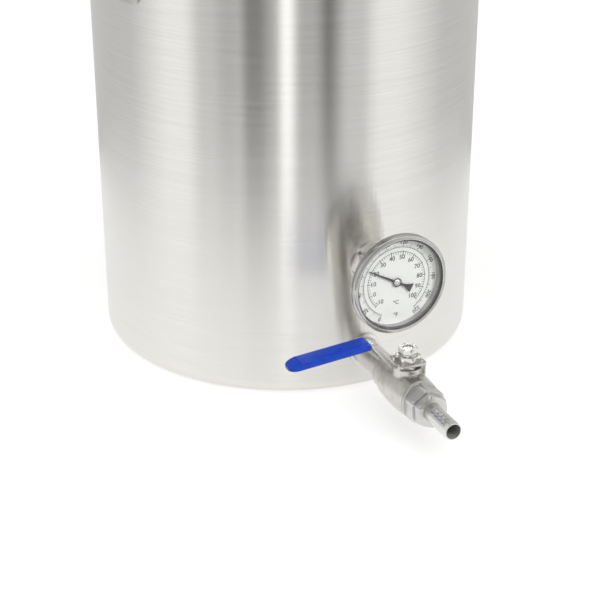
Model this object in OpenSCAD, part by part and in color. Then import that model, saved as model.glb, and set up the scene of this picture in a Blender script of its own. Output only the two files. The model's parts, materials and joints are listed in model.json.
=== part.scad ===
// Steel kettle with a dial thermometer, a lever ball valve and a hose barb.
// Millimetres. Origin at the centre of the base on the floor, +Z up, valve outlet along -Y.

/* [Kettle] */
// Outside diameter of the kettle wall
kettle_d = 316; // [280:1:360]
// Height from the floor to the top of the rolled rim
kettle_h = 370; // [330:1:420]
// Thickness of the kettle and lid sheet
sheet = 1; // [0.8:0.1:1.6]
// Outside radius between the wall and the base
corner_r = 21; // [14:0.5:28]
// Outside diameter of the rolled rim
rim_d = 7; // [5:0.5:10]

/* [Lid] */
// Height of the shoulder above the lid's flange
lid_rise = 9; // [6:0.5:14]
// Height of the crown above the shoulder
lid_crown = 7; // [4:0.5:12]
// Width of the flat flange inside the rim
lid_flange = 14; // [10:0.5:20]
// Depth of the turned-down edge
lid_skirt = 7; // [4:0.5:10]
// Space between the rolled rim and the turned-down edge
lid_gap = 0.8; // [0.4:0.1:2]

/* [Handles] */
// Distance from the top of the rim down to the side handles
handle_drop = 40; // [38:1:80]
// Distance between the legs of a side handle
handle_span = 104; // [80:1:130]
// Distance from the wall to the middle of the hand bar
handle_reach = 40; // [32:1:55]
// Diameter of the handle rod
handle_rod = 10; // [8:0.5:13]
// Bend radius at the middle of the rod
handle_bend = 15; // [11:0.5:20]
// Width of a handle foot
foot_w = 26; // [20:1:36]
// Height of a handle foot
foot_h = 46; // [40:1:56]
// Thickness of a handle foot
foot_t = 2.5; // [1.5:0.1:4]
// Distance between the two rivets of a foot
rivet_pitch = 30; // [26:0.5:34]
// Diameter of a rivet shank
rivet_d = 5; // [4:0.5:6]
// Distance between the legs of the lid handle
lid_handle_span = 96; // [70:1:120]
// Height of the lid handle above the crown
lid_handle_rise = 36; // [30:1:50]
// Diameter of the lid handle's rod
lid_rod = 9; // [7:0.5:11]

/* [Thermometer] */
// Height of the thermometer above the floor
thermo_z = 109.5; // [95:0.1:140]
// Angle of the thermometer round the kettle, from above the valve
thermo_turn = 1.8; // [0:0.1:8]
// Diameter of the bezel
bezel_d = 80; // [70:0.5:90]
// Width of the bezel's front lip
bezel_lip = 3.2; // [3:0.1:6]
// Distance from the wall to the front of the bezel
thermo_reach = 47; // [44:0.1:60]
// Depth from the front of the bezel to the dial
dial_depth = 8.2; // [6.5:0.1:9]
// Width across flats of the wall fitting
fitting_af = 32; // [27:0.5:36]
// Turn of the fitting's hexagon once it is tight
fitting_turn = -13; // [-30:1:30]
// Length of the fitting's hexagon
fitting_hex = 16; // [8:0.1:17]
// Diameter of the fitting's thread
fitting_thread_d = 20.9; // [16:0.1:22]
// Diameter of the wall washer
fitting_washer_d = 38; // [37:0.5:44]
// Diameter of the probe
probe_d = 6.35; // [6:0.05:8]
// Length of the probe inside the kettle
probe_len = 62; // [50:1:100]
// Temperature that the pointer shows, in degrees Celsius
shown_c = 20; // [-10:1:100]

/* [Valve] */
// Height of the valve's axis above the floor
valve_z = 35.4; // [32:0.1:45]
// Distance from the wall to the valve's stem
stem_reach = 73; // [68:0.5:85]
// Distance from the stem to the valve's wall end
body_rear = 33; // [31:0.5:38]
// Distance from the stem to the body's outlet face
body_front = 20.5; // [20:0.1:24]
// Diameter of the body at the ball
body_d = 34; // [33:0.5:40]
// Diameter of the body's wall end
rear_d = 28; // [27:0.5:31]
// Diameter of the ball
ball_d = 24; // [22:0.5:25]
// Diameter of the flow bore
bore_d = 14; // [10:0.5:15]
// Diameter of the pipe thread
pipe_d = 21.3; // [20:0.1:22]
// Width across flats of the end cap
cap_af = 27; // [25.5:0.5:30]
// Length of the end cap's hexagon
cap_hex = 11.3; // [10:0.1:16]
// Turn of the end cap's and the barb's hexagons once they are tight
cap_turn = 5; // [-30:1:30]
// Width across flats of the hose barb's hexagon
barb_af = 24; // [19:0.5:25]
// Length of the hose barb's hexagon
barb_hex = 6.3; // [5:0.1:10]
// Diameter of the smooth land behind the ridges
barb_land_d = 14.4; // [13.8:0.1:16]
// Diameter of the ridges
barb_d = 14.4; // [13.8:0.1:16]
// Number of ridges
barb_count = 5; // [3:1:7]
// Distance between two ridges
barb_pitch = 5.2; // [4:0.1:6]
// Diameter of the hose barb's bore
barb_bore = 11.6; // [8:0.1:11.8]

/* [Lever] */
// Width of the lever strip
lever_w = 12; // [10:0.5:14]
// Thickness of the lever strip
lever_t = 2.2; // [1.8:0.1:3]
// Height of the step between the lever's plate and its arm
lever_step = 21.6; // [16:0.1:26]
// Length of the step along the lever
lever_run = 17; // [14:0.5:22]
// Depth of the edges turned down along the step
flange_h = 4.3; // [3.4:0.1:4.8]
// Distance from the stem to the foot of the step
lever_foot = 13; // [12:0.5:16]
// Length of the lever arm past the step
arm_len = 67; // [55:0.5:85]
// Fall of the arm towards its tip
arm_droop = 5; // [0:0.5:8]
// Bend radius at the middle of the lever strip
lever_bend = 4; // [4:0.5:6]
// Width of the grip
grip_w = 15.5; // [14.5:0.5:19]
// Thickness of the grip
grip_t = 5.2; // [4.4:0.1:7]
// Bare length of the arm before the grip
grip_start = 4; // [2:0.5:8]

/* [Fits] */
// Gap between pieces that are seated together
seat = 0.05; // [0.03:0.01:0.1]
// Gap between a turning piece and what guides it
running = 0.05; // [0.03:0.01:0.09]
// Gap between the ball and its seats
ball_gap = 0.15; // [0.1:0.05:0.3]
// Gap at the lever's stops
stop_gap = 0.3; // [0.2:0.05:0.6]

/* [Hidden] */
$fn = 96;
// How far a cut runs past the face that it opens
past = 1;
kettle_r = kettle_d / 2;
inner_r = kettle_r - sheet;
rim_x = inner_r + rim_d / 2;
rim_z = kettle_h - rim_d / 2;

// Lid, from its flange up to the crown
lid_under = kettle_h + seat;
lid_skirt_r = inner_r + rim_d + lid_gap;
lid_shoulder_r = inner_r - lid_flange;
lid_slope = 5;
lid_top_r = lid_shoulder_r - lid_slope;
crown_base = lid_under + lid_rise;
crown_r = (lid_top_r * lid_top_r + lid_crown * lid_crown) / (2 * lid_crown);
crown_z = crown_base + lid_crown - crown_r;
lid_foot_x = lid_handle_span / 2;
lid_foot_w = 36;
lid_foot_d = 18;
lid_rivet_pitch = 24;

// Handles and rivets
handle_z = kettle_h - handle_drop;
foot_turn = asin(handle_span / 2 / (kettle_r + foot_t));
rivet_head_d = 2 * rivet_d;
rivet_head_h = 0.55 * rivet_d;
rivet_tail_d = 1.7 * rivet_d;
rivet_tail_h = 1.4;
rivet_slack = 0.15;
foot_corner = 6;

// Thermometer, as distances from the wall
thread_r = fitting_thread_d / 2;
washer_t = 2.5;
neck_len = 3.5;
neck_front = washer_t + fitting_hex + neck_len;
neck_r = 13;
case_neck_r = 9;
case_hex_af = 22;
case_hex = 8;
case_hex_gap = 1;
seal_t = 3;
seal_w = 4;
locknut_t = 6;
thread_past_nut = 5;
inside_len = sheet + seal_t + locknut_t + thread_past_nut;
bezel_wall = 2;
bezel_edge = 1.5;
bezel_depth = 7;
groove_depth = 0.7;
groove_back = 1.4;
groove_front = 2;
case_r = bezel_d / 2 - bezel_wall;
case_wall = 1.4;
lip_t = 1.3;
glass_t = 1.6;
gasket_t = 0.8;
dial_t = 0.6;
ledge_w = 4;
glass_back = thermo_reach - lip_t - seat - glass_t;
case_front = glass_back - gasket_t;
dial_face = thermo_reach - dial_depth;
dial_back = dial_face - dial_t;
dial_space = 1.6;
case_floor = dial_back - dial_space;
case_back = case_floor - case_wall;
back_edge = 4.5;
back_rise = 3;
dial_r = case_r - case_wall - seat;
dial_hole_r = 1.55;
glass_slack = 0.2;
glass_r = case_r - glass_slack;
dial_ring_w = 1.5;
probe_r = probe_d / 2;
probe_wall = 0.55;
probe_flange_r = 6;
probe_flange_t = 0.8;
spindle_r = 0.75;
bush_len = 4;
strip_t = 0.4;
strip_w = 1;
coil_r = (probe_r - probe_wall + spindle_r) / 2;
coil_len = 32;
coil_turns = 9;
coil_gap = 1;
probe_end = -(sheet + probe_len);
probe_nose = probe_end + probe_r;
pointer_lift = 1.4;
pointer_z = dial_face + pointer_lift;
pointer_t = 0.4;
pointer_len = 28;
pointer_hub_r = 3.6;
pointer_neck = 0.8;
pointer_tip = 0.2;
tail_len = 14.3;
tail_half = 3.9;
cap_r = 2.9;
cap_h = 1.4;
// The Celsius scale turns 270 degrees from -10 to 100, with 45 at the top
degrees_per_c = 270 / 110;
shown_angle = 90 + (45 - shown_c) * degrees_per_c;

// Valve, as distances along the flow from the ball's centre
ball_r = ball_d / 2;
bore_r = bore_d / 2;
wall_at = -stem_reach;
pipe_r = pipe_d / 2;
pipe_bore_r = 7.9;
socket_len = 12.5;
cavity_gap = 1;
cavity_r = ball_r + cavity_gap;
seat_wall = 2;
seat_back = ball_r + seat_wall;
valve_washer_r = 14;
rear_len = 12.5;
rear_edge = 1.2;
barrel_arc = 160;
rim_inset = 1;
rim_r = body_d / 2 - rim_inset;
rim_len = 3;
gasket_gap = 0.7;
cap_face = body_front + gasket_gap;
collar_t = 2;
collar_inset = 0.6;
collar_r = rim_r - collar_inset;
cap_front = cap_face + collar_t + cap_hex;
// Corners of a hexagon turned down at its free end and at its seated end
hex_edge = 1.3;
hex_seat_edge = 0.6;
hex_edge_slope = 0.6;
joint_gap = 0.2;
barb_back = cap_front + joint_gap;
barb_front = barb_back + barb_hex;
shank_gap = 1;
barb_shank = cap_hex - shank_gap;
relief_len = 1.4;
relief_depth = 0.7;
land_len = 4;
ridge_h = 0.5;
ridge_r = barb_d / 2;
valley_r = ridge_r - ridge_h;
ridge_land = 0.8;
heel_len = 0.2;
heel_drop = 0.4;
barb_tip = barb_front + relief_len + land_len + barb_count * barb_pitch;

// Stem stack, as heights above the flow axis
stem_r = 4.5;
thread_top_r = 4;
shoulder_r = 6.5;
// The seats start beside the stem's shoulder
shoulder_side = 0.4;
seat_front = shoulder_r + shoulder_side;
tang_w = 4.8;
tang_l = 9;
slot_slack = 0.1;
slot_wall = 1.6;
slot_floor = bore_r + slot_wall;
shoulder_gap = 0.3;
shoulder_z = ball_r + shoulder_gap;
shoulder_t = 2;
thrust_t = 1.2;
pocket_top = shoulder_z + shoulder_t + thrust_t + 2 * seat;
ledge_t = 1.5;
chamber_floor = pocket_top + ledge_t;
chamber_r = 7;
packing_t = 2.8;
boss_r = 11;
boss_top = chamber_floor + packing_t + joint_gap;
gland_af = 17;
gland_h = 2;
gland_z = boss_top + joint_gap;
gland_top = gland_z + gland_h;
plate_gap = 0.6;
plate_z = gland_top + plate_gap;
plate_top = plate_z + lever_t;
stem_flat = 6.4;
hub_af = 17;
hub_h = 4.6;
hub_z = plate_top + seat;
hub_top = hub_z + hub_h;
lock_t = 1.4;
lock_r = 7.4;
lock_split = 1.2;
lock_turn = 40;
nut_af = 13;
nut_h = 4.15;
nut_z = hub_top + lock_t + 2 * seat;
stem_sink = 1;
stem_top = nut_z + nut_h - stem_sink;

// Lever and its stops
lever_at = 180;
bend_steps = 6;
eye_half = 10.8;
eye_corner = 2;
flange_t = 1.8;
flange_out = 0.2;
arm_x = lever_foot + lever_run;
arm_z = plate_z + lever_t / 2 + lever_step;
// Points along the middle of the strip, seen from its side
lever_eye = [0, plate_z + lever_t / 2];
step_foot = [lever_foot, plate_z + lever_t / 2];
lower_bend = bend(lever_eye, step_foot, arm_point(0), lever_bend);
upper_bend = bend(step_foot, arm_point(0), arm_point(arm_len), lever_bend);
tab_w = 3.6;
tab_t = 2.2;
tab_drop = 2.4;
tab_out = 0.8;
tab_mid = eye_half + tab_out;
stop_at = 318;
lug_out = 14;
lug_gap = 0.5;
lug_in = gland_af / sqrt(3) + lug_gap;
stop_half = 2 * asin(tab_w / 2 / tab_mid) + asin(stop_gap / tab_mid);
first_tab = stop_at - 90 - stop_half;
second_tab = stop_at + stop_half;
grip_over = 3;
grip_round = 1.7;
grip_corner = 5.2;
grip_tip_r = 2.4;

// Places: local z runs outwards from the wall and local y runs up
module at_valve() translate([0, -kettle_r - stem_reach, valve_z]) rotate([90, 0, 0]) children();
module at_stem() translate([0, -kettle_r - stem_reach, valve_z]) children();
module at_thermometer() rotate([0, 0, thermo_turn])
    translate([0, -kettle_r, thermo_z]) rotate([90, 0, 0]) children();

// Shared shapes
module ring(outer, inner, from, to) {
    translate([0, 0, from]) difference() {
        cylinder(r = outer, h = to - from);
        translate([0, 0, -past]) cylinder(r = inner, h = to - from + 2 * past);
    }
}
module rod(radius, from, to) translate([0, 0, from]) cylinder(r = radius, h = to - from);
module hexagon(af) rotate(30) circle(r = af / sqrt(3), $fn = 6);
// Hexagon bar with its corners turned down at the ends
module hex_bar(af, from, to, end_edge = hex_edge, start_edge = hex_seat_edge) {
    tip = af / sqrt(3);
    intersection() {
        translate([0, 0, from]) linear_extrude(to - from) hexagon(af);
        rotate_extrude() polygon([
            [0, from], [tip - start_edge, from], [tip, from + start_edge * hex_edge_slope],
            [tip, to - end_edge * hex_edge_slope], [tip - end_edge, to], [0, to]
        ]);
    }
}
module rounded_square(w, h, corner) {
    for (x = [-1, 1], y = [-1, 1])
        translate([x * (w / 2 - corner), y * (h / 2 - corner)]) circle(corner);
    square([w - 2 * corner, h], center = true);
    square([w, h - 2 * corner], center = true);
}
// Outside of the kettle wall, for pieces that seat on it
module wall_solid(extra) cylinder(r = kettle_r + extra, h = kettle_h, $fn = 360);
module wall_space(extra) cylinder(r = inner_r - extra, h = kettle_h, $fn = 360);

// Kettle
module kettle_outline(inset) {
    r = corner_r - inset;
    x = kettle_r - corner_r;
    translate([x, corner_r]) intersection() {
        circle(r);
        translate([0, -r]) square([r, r]);
    }
    translate([0, inset]) square([x, kettle_h]);
    translate([0, corner_r]) square([kettle_r - inset, kettle_h]);
}
module rim_curl() {
    translate([rim_x, rim_z]) difference() {
        circle(d = rim_d);
        circle(d = rim_d - 2 * sheet);
        translate([-rim_d / 2 + sheet, -rim_d]) square([rim_d / 2 - sheet, rim_d]);
    }
}
module rivet_places() {
    for (side = [0, 180], turn = [-foot_turn, foot_turn], dz = [-1, 1])
        rotate([0, 0, side + turn]) translate([kettle_r, 0, handle_z + dz * rivet_pitch / 2])
            rotate([0, 90, 0]) children();
}
module kettle_shell() color("silver") difference() {
    rotate_extrude($fn = 360) {
        intersection() {
            difference() {
                kettle_outline(0);
                kettle_outline(sheet);
            }
            square([kettle_d, rim_z]);
        }
        rim_curl();
    }
    at_valve() rod(pipe_r + seat, wall_at - corner_r, wall_at + corner_r);
    at_thermometer() rod(thread_r + seat, -corner_r, corner_r);
    rivet_places() cylinder(d = rivet_d + 2 * rivet_slack, h = 4 * sheet, center = true);
}

// Bent rod with two legs along +X, joined by a bar at x = reach
module rod_loop(span, reach, bend, thick) {
    half = span / 2;
    for (s = [-1, 1]) {
        translate([0, s * half, 0]) rotate([0, 90, 0]) cylinder(d = thick, h = reach - bend);
        translate([reach - bend, s * (half - bend), 0]) rotate([0, 0, s > 0 ? 0 : -90])
            rotate_extrude(angle = 90) translate([bend, 0]) circle(d = thick);
    }
    translate([reach, 0, 0]) rotate([90, 0, 0])
        cylinder(d = thick, h = span - 2 * bend, center = true);
}
module handle_foot() {
    intersection() {
        difference() {
            wall_solid(seat + foot_t);
            wall_solid(seat);
        }
        translate([kettle_r / 2, 0, handle_z]) rotate([90, 0, 90]) linear_extrude(kettle_r)
            rounded_square(foot_w, foot_h, foot_corner);
    }
}
module side_handle() {
    difference() {
        union() {
            difference() {
                translate([0, 0, handle_z])
                    rod_loop(handle_span, kettle_r + handle_reach, handle_bend, handle_rod);
                wall_solid(seat + foot_t / 2);
            }
            for (turn = [-foot_turn, foot_turn]) rotate([0, 0, turn]) handle_foot();
        }
        rivet_places() cylinder(d = rivet_d + 2 * rivet_slack, h = 6 * foot_t, center = true);
    }
}
module left_handle() color("gainsboro") rotate([0, 0, 180]) side_handle();
module right_handle() color("gainsboro") side_handle();
// Domed head outside, shank through the sheet, upset head inside
module rivet(grip) {
    ball = (rivet_head_d * rivet_head_d / 4 + rivet_head_h * rivet_head_h) / (2 * rivet_head_h);
    intersection() {
        translate([0, 0, grip + rivet_head_h - ball]) sphere(ball);
        rod(rivet_head_d / 2, grip, grip + rivet_head_h);
    }
    rod(rivet_d / 2, -rivet_tail_h, grip);
    rod(rivet_tail_d / 2, -rivet_tail_h, 0);
}
module handle_rivets() color("whitesmoke") rivet_places()
    translate([0, 0, -sheet - rivet_slack]) rivet(sheet + foot_t + 3 * rivet_slack);

// Lid
module crown_cap(lift) {
    translate([0, crown_z]) intersection() {
        circle(crown_r + lift, $fn = 720);
        translate([0, crown_base - crown_z]) square([lid_top_r, 3 * lid_crown]);
    }
}
module lid_outline() {
    difference() {
        union() {
            crown_cap(sheet);
            polygon([
                [0, lid_under], [lid_skirt_r + sheet, lid_under],
                [lid_skirt_r + sheet, lid_under + sheet],
                [lid_shoulder_r, lid_under + sheet], [lid_top_r, crown_base + sheet],
                [0, crown_base + sheet]
            ]);
        }
        crown_cap(0);
        polygon([
            [-past, lid_under - past], [lid_shoulder_r - sheet, lid_under - past],
            [lid_shoulder_r - sheet, lid_under], [lid_top_r - sheet, crown_base], [-past, crown_base]
        ]);
        translate([-past, crown_base - sheet]) square([lid_top_r - sheet + past, 2 * sheet]);
    }
    translate([lid_skirt_r, lid_under - lid_skirt]) square([sheet, lid_skirt + sheet]);
}
module lid_rivet_places() {
    for (x = [-1, 1], y = [-1, 1])
        translate([x * lid_foot_x, y * lid_rivet_pitch / 2, crown_top(lid_foot_x)]) children();
}
function crown_top(x) = crown_z + sqrt(pow(crown_r + sheet, 2) - x * x);
module lid() color("silver") difference() {
    rotate_extrude($fn = 360) lid_outline();
    lid_rivet_places() cylinder(d = rivet_d + 2 * rivet_slack, h = 6 * sheet, center = true);
}
module lid_handle() color("gainsboro") difference() {
    union() {
        translate([0, 0, crown_base]) rotate([0, -90, 0]) rotate([90, 0, 0])
            rod_loop(lid_handle_span, lid_crown + lid_handle_rise, handle_bend, lid_rod);
        for (s = [-1, 1]) translate([s * lid_foot_x, 0, crown_base])
            linear_extrude(crown_top(lid_foot_x) - crown_base + foot_t)
                rounded_square(lid_foot_d, lid_foot_w, foot_corner);
    }
    translate([0, 0, crown_z]) sphere(crown_r + sheet + seat, $fn = 720);
    lid_rivet_places() cylinder(d = rivet_d + 2 * rivet_slack, h = 6 * foot_t, center = true);
}
module lid_rivets() color("whitesmoke") lid_rivet_places()
    translate([0, 0, -sheet - 2 * rivet_slack]) rivet(sheet + foot_t + 2 * rivet_slack);

// Thermometer and its wall fitting
module thermometer_washer() color("lightgray") difference() {
    at_thermometer() ring(fitting_washer_d / 2, thread_r + seat, -corner_r / 2, washer_t);
    wall_solid(seat);
}
module thermometer_fitting() color("gainsboro") at_thermometer() difference() {
    union() {
        rotate(fitting_turn) hex_bar(fitting_af, washer_t, washer_t + fitting_hex);
        rod(neck_r, washer_t, neck_front);
        rod(thread_r, -inside_len, washer_t);
    }
    rod(probe_r + seat, -inside_len - past, neck_front + past);
}
// Seal and nut inside the wall, on a thread of a given radius
module inner_seal(thread) ring(thread + seal_w, thread + seat, -sheet - seal_t, 0);
module inner_nut(thread) difference() {
    hex_bar(fitting_af, -sheet - seal_t - locknut_t, -sheet - seal_t, hex_seat_edge, hex_edge);
    rod(thread + seat, -inside_len, 0);
}
module thermometer_seal() color("tomato") intersection() {
    at_thermometer() inner_seal(thread_r);
    wall_space(seat);
}
module thermometer_locknut() color("gainsboro") at_thermometer() inner_nut(thread_r);
module thermometer_case() color("silver") at_thermometer() difference() {
    union() {
        rod(case_neck_r, neck_front, case_floor);
        hex_bar(case_hex_af, neck_front + case_hex_gap, neck_front + case_hex_gap + case_hex);
        rotate_extrude() polygon([
            [0, case_back], [case_r - back_edge, case_back], [case_r, case_back + back_rise],
            [case_r, case_front], [0, case_front]
        ]);
    }
    rod(case_r - case_wall - ledge_w, case_floor, dial_back);
    rod(case_r - case_wall, dial_back, case_front + past);
    rod(probe_r + seat, neck_front - past, case_floor + past);
}
module thermometer_stem() color("lightgray") at_thermometer() difference() {
    union() {
        rod(probe_r, probe_nose, case_floor + probe_flange_t);
        translate([0, 0, probe_nose]) sphere(probe_r);
        rod(probe_flange_r, case_floor, case_floor + probe_flange_t);
    }
    rod(probe_r - probe_wall, probe_nose, case_floor + probe_flange_t + past);
}
// Bimetal strip wound round the spindle at the sensing end
module bimetal_coil() color("peru") at_thermometer() translate([0, 0, probe_nose + coil_gap])
    linear_extrude(coil_len, twist = -360 * coil_turns, slices = 12 * coil_turns, segments = 4)
        translate([coil_r, 0]) square([strip_t, strip_w], center = true);
module spindle_bush() color("goldenrod") at_thermometer() {
    top = case_floor + probe_flange_t;
    ring(probe_r - probe_wall - seat, spindle_r + running, top - bush_len, top);
}
module dial_plate() color("white") at_thermometer() ring(dial_r, dial_hole_r, dial_back, dial_face);
module dial_ring() color("whitesmoke") at_thermometer()
    ring(dial_r, dial_r - dial_ring_w, dial_face, case_front);
module glass_gasket() color("dimgray") at_thermometer()
    ring(glass_r, dial_r - dial_ring_w, case_front, glass_back);
module thermometer_glass() color("lightcyan", 0.4) at_thermometer()
    rod(glass_r, glass_back, glass_back + glass_t);
// Spun ring with a round front edge and a shallow groove round its side
module thermometer_bezel() color("silver") at_thermometer() {
    out = bezel_d / 2;
    back = thermo_reach - bezel_depth;
    groove_w = bezel_depth - bezel_edge - groove_back - groove_front;
    rotate_extrude() difference() {
        union() {
            translate([out - bezel_lip, back]) square([bezel_lip - bezel_edge, bezel_depth]);
            translate([out - bezel_lip, back]) square([bezel_lip, bezel_depth - bezel_edge]);
            translate([out - bezel_edge, thermo_reach - bezel_edge]) circle(bezel_edge);
        }
        translate([0, back - past]) square([case_r + seat, bezel_depth - lip_t + past]);
        translate([out - groove_depth, back + groove_back]) square([groove_depth + past, groove_w]);
    }
}
module pointer_spindle() color("goldenrod") at_thermometer()
    rod(spindle_r, probe_nose + coil_gap, pointer_z + pointer_t);
// Needle with a triangular tail, as one outline
module pointer() color("black") at_thermometer() rotate([0, 0, shown_angle]) difference() {
    translate([0, 0, pointer_z]) linear_extrude(pointer_t) {
        circle(pointer_hub_r);
        polygon([
            [pointer_len, pointer_tip], [0, pointer_neck], [-pointer_hub_r, pointer_neck],
            [-tail_len, tail_half], [-tail_len, -tail_half], [-pointer_hub_r, -pointer_neck],
            [0, -pointer_neck], [pointer_len, -pointer_tip]
        ]);
    }
    rod(spindle_r + seat, pointer_z - past, pointer_z + past);
}
module pointer_cap() color("gainsboro") at_thermometer() {
    base = pointer_z + pointer_t;
    ball = (cap_r * cap_r + cap_h * cap_h) / (2 * cap_h);
    intersection() {
        translate([0, 0, base + cap_h - ball]) sphere(ball);
        rod(cap_r, base, base + cap_h);
    }
}

// Valve line, from the wall to the hose barb
module valve_washer() color("lightgray") difference() {
    at_valve() ring(valve_washer_r, pipe_r + seat, wall_at - corner_r / 2, wall_at + washer_t);
    wall_solid(seat);
}
module valve_nipple() color("gainsboro") at_valve()
    ring(pipe_r, pipe_bore_r, wall_at - inside_len, -body_rear + socket_len);
module valve_seal() color("tomato") intersection() {
    at_valve() translate([0, 0, wall_at]) inner_seal(pipe_r);
    wall_space(seat);
}
module valve_locknut() color("gainsboro") at_valve() translate([0, 0, wall_at]) inner_nut(pipe_r);
module body_outline() {
    barrel_z = body_d / 2 - barrel_arc;
    intersection() {
        translate([barrel_z, 0]) circle(barrel_arc, $fn = 360);
        translate([0, -body_rear + rear_len]) square([body_d, body_rear - rear_len + body_front]);
    }
    polygon([
        [0, -body_rear], [rear_d / 2 - rear_edge, -body_rear], [rear_d / 2, -body_rear + rear_edge],
        [rear_d / 2, -body_rear + rear_len + past], [0, -body_rear + rear_len + past]
    ]);
    translate([0, body_front - rim_len]) square([rim_r, rim_len]);
}
module valve_body() color("lightgray") difference() {
    union() {
        at_valve() rotate_extrude() body_outline();
        at_stem() rod(boss_r, 0, boss_top);
        at_stem() rotate([0, 0, stop_at]) translate([lug_in, -tab_w / 2, ball_r])
            cube([lug_out - lug_in, tab_w, gland_top - ball_r]);
    }
    at_valve() {
        rod(pipe_r + seat, -body_rear - past, -body_rear + socket_len + seat);
        rod(bore_r, -body_rear, body_front);
        rod(cavity_r, -seat_back - seat, body_front + past);
    }
    at_stem() {
        rod(chamber_r, 0, pocket_top);
        rod(stem_r + running, 0, boss_top + past);
        rod(chamber_r, chamber_floor, boss_top + past);
    }
}
module seat_ring() difference() {
    ring(cavity_r - seat, bore_r, seat_front, seat_back);
    sphere(ball_r + ball_gap);
}
module inner_seat() color("white") at_valve() rotate([180, 0, 0]) seat_ring();
module outer_seat() color("white") at_valve() seat_ring();
module body_gasket() color("whitesmoke") at_valve()
    ring(rim_r - rim_inset, cavity_r + seat, body_front, cap_face);
module valve_end_cap() color("lightgray") at_valve() difference() {
    union() {
        rod(cavity_r - seat, seat_back + seat, cap_face);
        rod(collar_r, cap_face, cap_face + collar_t);
        rotate(cap_turn) hex_bar(cap_af, cap_face, cap_front);
    }
    rod(bore_r, 0, cap_front);
    rod(pipe_r + seat, cap_front - barb_shank - shank_gap, cap_front + past);
}
module barb_outline() {
    land_r = barb_land_d / 2;
    neck_r = land_r - relief_depth;
    land = barb_front + relief_len;
    first = land + land_len;
    polygon(concat(
        [[0, barb_front - past], [neck_r, barb_front - past]],
        [[neck_r, land], [land_r, land], [land_r, first]],
        [for (i = [0 : barb_count - 1], point = [
            [ridge_r - heel_drop, 0], [ridge_r, heel_len], [ridge_r, ridge_land], [valley_r, barb_pitch]
        ]) point + [0, first + i * barb_pitch]],
        [[0, barb_tip]]
    ));
}
module hose_barb() color("gainsboro") at_valve() difference() {
    union() {
        rod(pipe_r, cap_front - barb_shank, barb_back + past);
        rotate(cap_turn) hex_bar(barb_af, barb_back, barb_front);
        rotate_extrude() barb_outline();
    }
    rod(barb_bore / 2, 0, barb_tip + past);
}

// Stem seals in the body
module thrust_washer() color("white") at_stem()
    ring(chamber_r - seat, stem_r + running, pocket_top - thrust_t - seat, pocket_top - seat);
module stem_packing() color("white") at_stem()
    ring(chamber_r - seat, stem_r + running, chamber_floor, chamber_floor + packing_t);
module gland_nut() color("gainsboro") at_stem() difference() {
    union() {
        rod(chamber_r - seat, chamber_floor + packing_t, gland_z + past);
        hex_bar(gland_af, gland_z, gland_top);
    }
    rod(stem_r + running, 0, gland_top + past);
}

// Pieces that turn with the lever
module ball() color("whitesmoke") at_stem() difference() {
    sphere(ball_r);
    rotate([0, 90, 0]) cylinder(r = bore_r, h = 2 * ball_d, center = true);
    translate([-tang_w / 2 - slot_slack, -ball_r, slot_floor])
        cube([tang_w + 2 * slot_slack, ball_d, ball_r]);
}
module stem_flats(slack) intersection() {
    circle(stem_r + slack);
    square([3 * stem_r, stem_flat + 2 * slack], center = true);
}
module valve_stem() color("gainsboro") at_stem() {
    tang_z = slot_floor + slot_slack;
    difference() {
        rotate_extrude() polygon([
            [0, shoulder_z], [shoulder_r, shoulder_z], [shoulder_r, shoulder_z + shoulder_t],
            [stem_r, shoulder_z + shoulder_t], [stem_r, plate_top], [thread_top_r, plate_top],
            [thread_top_r, stem_top], [0, stem_top]
        ]);
        for (side = [-1, 1])
            translate([0, side * (stem_flat / 2 + stem_r), (plate_z - seat + plate_top) / 2])
                cube([4 * stem_r, 2 * stem_r, lever_t + seat], center = true);
    }
    translate([-tang_w / 2, -tang_l / 2, tang_z])
        cube([tang_w, tang_l, shoulder_z - tang_z + shoulder_t / 2]);
}
// Side view of a bent strip through a list of points, mitred at its bends
function left_of(from, to) = [from[1] - to[1], to[0] - from[0]] / norm(to - from);
function mitre(points, i) =
    let (
        last = len(points) - 1,
        before = left_of(points[max(i - 1, 0)], points[max(i, 1)]),
        after = left_of(points[min(i, last - 1)], points[min(i + 1, last)])
    ) (before + after) / (1 + before * after);
module strip_line(points, over, under) {
    last = len(points) - 1;
    polygon([
        for (i = [0 : last]) points[i] + mitre(points, i) * over,
        for (i = [last : -1 : 0]) points[i] - mitre(points, i) * under
    ]);
}
// Points of a round bend in place of the corner at b, on the way from a to c
function unit(v) = v / norm(v);
function turned(p, a) = [p[0] * cos(a) - p[1] * sin(a), p[0] * sin(a) + p[1] * cos(a)];
function bend(a, b, c, r) =
    let (
        back = unit(a - b), on = unit(c - b), half = acos(back * on) / 2,
        middle = b + unit(back + on) * r / sin(half), start = b + back * r / tan(half) - middle,
        swing = sign(cross(b - a, c - b)) * (180 - 2 * half)
    ) [for (k = [0 : bend_steps]) middle + turned(start, swing * k / bend_steps)];
function arm_point(along) = [arm_x + along * cos(arm_droop), arm_z - along * sin(arm_droop)];
module lever_strip(slack) rotate([90, 0, 0]) linear_extrude(lever_w + 2 * slack, center = true)
    strip_line(
        concat([lever_eye], lower_bend, upper_bend, [arm_point(arm_len)]),
        lever_t / 2 + slack, lever_t / 2 + slack
    );
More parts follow.
